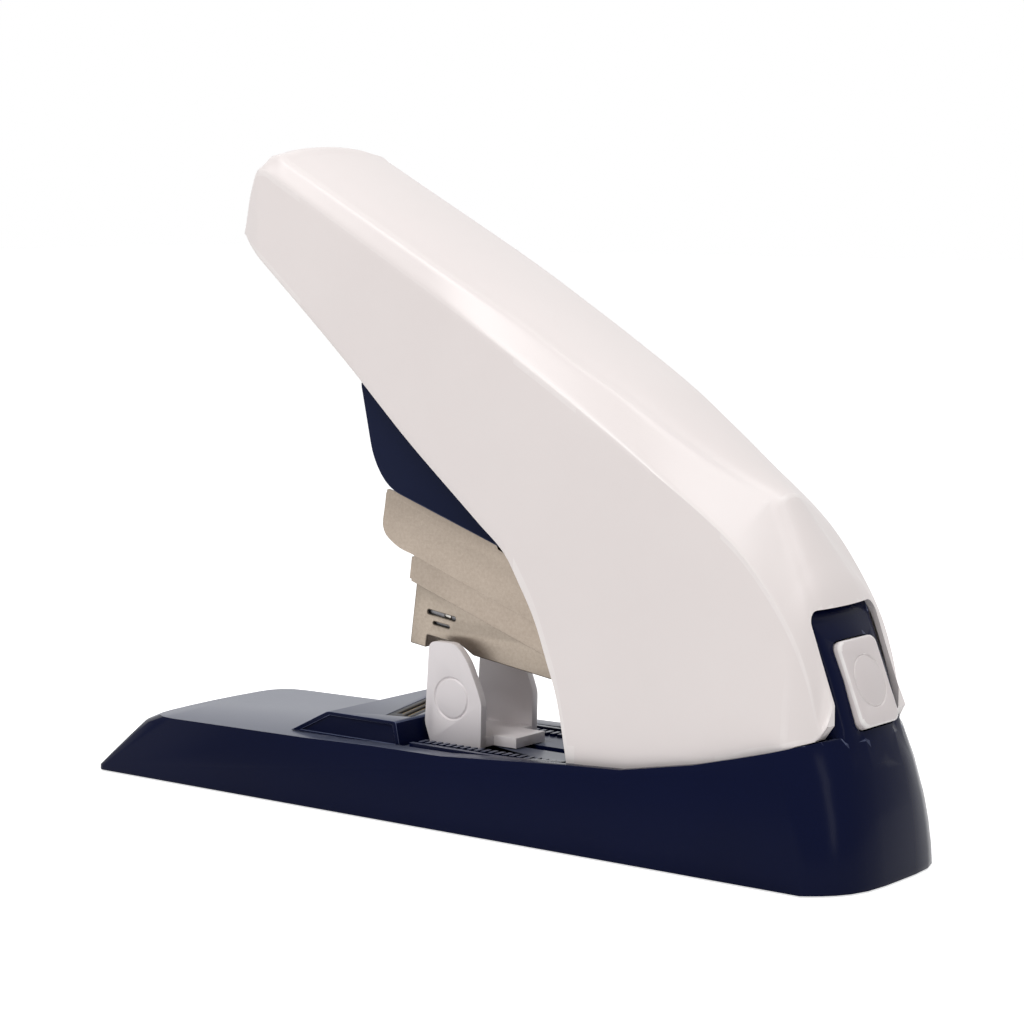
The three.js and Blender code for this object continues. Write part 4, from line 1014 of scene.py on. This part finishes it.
def coverRows(stations, wall):
    # rows of points over the top, with the front and back walls dropped to the lower edge
    rows = []
    start, end = stations[0] + wall, stations[-1] - wall
    for x in stations:
        x = min(max(x, start), end)
        if wall:  # spread the rows evenly between the two inner walls
            share = (stations[len(rows)] - stations[0]) / (stations[-1] - stations[0])
            x = start + share * (end - start)
        right = coverSection(x, wall)
        left = [Vector((-p.x, p.y)) for p in reversed(right[:-1])]
        rows.append([Vector((x, -p.x, p.y)) for p in right + left])

    def dropped(row, share):
        floor = lowerEdge(row[0].x)
        return [Vector((p.x, p.y, p.z + (floor - p.z) * share)) for p in row]
    return [dropped(rows[0], 1), dropped(rows[0], 0.5), *rows,
            dropped(rows[-1], 0.5), dropped(rows[-1], 1)]


def rimOf(grid):
    # open edge of a skin, once round
    right, left = [row[-1] for row in grid[1:-1]], [row[0] for row in grid[1:-1]]
    return [*grid[0], *right, *reversed(grid[-1]), *reversed(left)]


def makeCover():
    # an outer and an inner skin, joined round their open edge
    stations = coverStations()
    work = bmesh.new()
    skins = []
    for wall in (0.0, cover["wall"]):
        grid = [[work.verts.new(p * mm) for p in row] for row in coverRows(stations, wall)]
        for a, b in zip(grid, grid[1:]):
            for i in range(len(a) - 1):
                corners = (a[i], b[i], b[i + 1], a[i + 1])
                work.faces.new(corners if wall else corners[::-1])
        skins.append(grid)
    outer, inner = (rimOf(grid) for grid in skins)
    for i in range(len(outer)):
        k = (i + 1) % len(outer)
        work.faces.new((outer[i], outer[k], inner[k], inner[i]))
    bmesh.ops.remove_doubles(work, verts=work.verts, dist=coverMesh["merge"])
    bmesh.ops.dissolve_degenerate(work, dist=coverMesh["empty"], edges=work.edges)
    bmesh.ops.recalc_face_normals(work, faces=work.faces)
    mesh = bpy.data.meshes.new("handleCover")
    work.to_mesh(mesh)
    work.free()
    return newPiece("handle_cover_shell", mesh)


towerNotch = {  # opening in the cover's back, for the tower with the button
    "half": 13.5, "top": 41.9, "corner": 3.2, "below": 20, "ahead": 30, "behind": 5, "steps": 8,
}


def notchOutline():
    half, top, corner = towerNotch["half"], towerNotch["top"], towerNotch["corner"]
    steps = towerNotch["steps"]
    points = [(-half, -towerNotch["below"])]
    for k in range(steps + 1):
        turn = math.pi * (1 - k / (2 * steps))
        points.append((-half + corner + corner * math.cos(turn),
                       top - corner + corner * math.sin(turn)))
    points += [(-y, z) for y, z in reversed(points)]
    return [(y * mm, z * mm + deckTop) for y, z in points]


screwBoss = {
    "radius": 3.5, "draft": 0.25, "bore": 1.8, "aboveHead": 4.85, "boreDepth": 9, "roof": 0.3,
    "postSteps": 28, "boreSteps": 20,
}


def addBoss(shell, node):
    # a post under the cover's top, bored for its screw
    lo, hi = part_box(node)
    x = (lo.x + hi.x) / 2 / mm
    low = lo.z / mm + screwKinds["cover_screws"]["rise"] + screwBoss["aboveHead"]
    high = deckMm + topLine(x) - screwBoss["roof"]
    radius, bore = screwBoss["radius"], screwBoss["bore"]
    place = Matrix.Translation((x, 0, 0))
    post = turned("cutter", [(radius, low), (radius + screwBoss["draft"], high)], place,
                  screwBoss["postSteps"])
    cutWith(shell, post, "UNION")
    hole = turned("cutter", [(bore, low - 1), (bore, low + screwBoss["boreDepth"])], place,
                  screwBoss["boreSteps"])
    cutWith(shell, hole)


coverPiece = makeCover()
coverPiece.data.transform(Matrix.Translation((0, 0, deckTop)))
cutWith(coverPiece, prism(notchOutline(), rearX - towerNotch["ahead"] * mm,
                          rearX + towerNotch["behind"] * mm))
for node in screwKinds["cover_screws"]["nodes"]:
    addBoss(coverPiece, node)
smoothShade(coverPiece.data, coverMesh["shade"])
markEdges(coverPiece.data, coverMesh["edgeWearAndLightSharp"], coverMesh["edgeWearAndLightStrip"])
settle(coverPiece, "handle", "cover_plastic", "handle_cover")
report("handle cover")


paleFloor = {"shade": 0.86, "rough": 0.9, "shine": 0.1, "glow": 0.7, "drop": 0.1, "half": 4.0}


def makeFloor():
    shade = paleFloor["shade"]
    material, tree, shader = newMaterial("paleFloor")
    shader.inputs["Base Color"].default_value = (shade, shade, shade, 1)
    shader.inputs["Roughness"].default_value = paleFloor["rough"]
    shader.inputs["Specular IOR Level"].default_value = paleFloor["shine"]
    glow = tree.nodes.new("ShaderNodeEmission")
    glow.inputs["Color"].default_value = (1, 1, 1, 1)
    seen = tree.nodes.new("ShaderNodeLightPath")
    share = mathNode(tree, "MAXIMUM", seen.outputs["Is Camera Ray"], seen.outputs["Is Glossy Ray"])
    share = mathNode(tree, "MULTIPLY", share, paleFloor["glow"])
    tree.links.new(share, glow.inputs["Strength"])
    both = tree.nodes.new("ShaderNodeAddShader")
    tree.links.new(shader.outputs[0], both.inputs[0])
    tree.links.new(glow.outputs[0], both.inputs[1])
    beneath = tree.nodes.new("ShaderNodeMixShader")  # clear from below: the underside shows
    underside = tree.nodes.new("ShaderNodeNewGeometry").outputs["Backfacing"]
    tree.links.new(underside, beneath.inputs["Fac"])
    tree.links.new(both.outputs[0], beneath.inputs[1])
    tree.links.new(tree.nodes.new("ShaderNodeBsdfTransparent").outputs[0], beneath.inputs[2])
    tree.links.new(beneath.outputs[0], tree.nodes["Material Output"].inputs["Surface"])
    work = bmesh.new()
    low = Matrix.Translation((0, 0, -paleFloor["drop"] * mm))
    bmesh.ops.create_grid(work, x_segments=1, y_segments=1, size=paleFloor["half"], matrix=low)
    mesh = bpy.data.meshes.new("floor")
    work.to_mesh(mesh)
    work.free()
    mesh.materials.append(material)
    floor = newPiece("floor", mesh)


studio = {"light": 0.36, "extraWhenSeen": 0.64}  # world strength, and what a view adds to it


def makeWorld():
    world = bpy.data.worlds.new("studio")
    bpy.context.scene.world = world
    world.use_nodes = True
    tree = world.node_tree
    back = tree.nodes["Background"]
    back.inputs["Color"].default_value = (1, 1, 1, 1)
    seen = tree.nodes.new("ShaderNodeLightPath")
    share = mathNode(tree, "MAXIMUM", seen.outputs["Is Camera Ray"], seen.outputs["Is Glossy Ray"])
    share = mathNode(tree, "MAXIMUM", share, seen.outputs["Is Transmission Ray"])
    strength = mathNode(tree, "MULTIPLY_ADD", share, studio["extraWhenSeen"], studio["light"])
    tree.links.new(strength, back.inputs["Strength"])


def softbox(name, place, aim, size, power):
    lamp = bpy.data.lights.new(name, "AREA")
    lamp.shape = "RECTANGLE"
    lamp.size, lamp.size_y = size
    lamp.energy = power
    holder = bpy.data.objects.new(name, lamp)
    bpy.context.scene.collection.objects.link(holder)
    holder.location = place
    holder.rotation_euler = (Vector(aim) - Vector(place)).to_track_quat("-Z", "Y").to_euler()


makeFloor()
makeWorld()
aimPoint = (0, 0, 0.06)
lamps = {  # metres and watts
    "key_box": {"place": (-0.05, -0.55, 0.75), "size": (0.45, 0.35), "power": 3.9},
    "top_box": {"place": (0.35, 0.25, 0.9), "size": (0.5, 0.5), "power": 2.6},
    "rear_box": {"place": (0.8, -0.25, 0.25), "size": (0.12, 0.4), "power": 0.5},
}
for name, lamp in lamps.items():
    softbox(name, lamp["place"], aimPoint, lamp["size"], lamp["power"])

viewpoint = {
    "place": (0.4096, -0.5237, 0.1517), "azimuth": 37.7, "elevation": 6.8, "lens": 99.14,
    "sensor": 36, "nearest": 0.01,
}


def makeCamera():
    camera = bpy.data.objects.new("camera", bpy.data.cameras.new("camera"))
    bpy.context.scene.collection.objects.link(camera)
    a = math.radians(viewpoint["azimuth"])
    e = math.radians(viewpoint["elevation"])
    back = Vector((math.sin(a) * math.cos(e), -math.cos(a) * math.cos(e), math.sin(e)))
    camera.location = viewpoint["place"]
    camera.rotation_euler = (-back).to_track_quat("-Z", "Y").to_euler()
    camera.data.lens = viewpoint["lens"]
    camera.data.sensor_width = viewpoint["sensor"]
    camera.data.clip_start = viewpoint["nearest"]
    bpy.context.scene.camera = camera


makeCamera()
bpy.context.scene.view_settings.view_transform = "Standard"
report("stage")
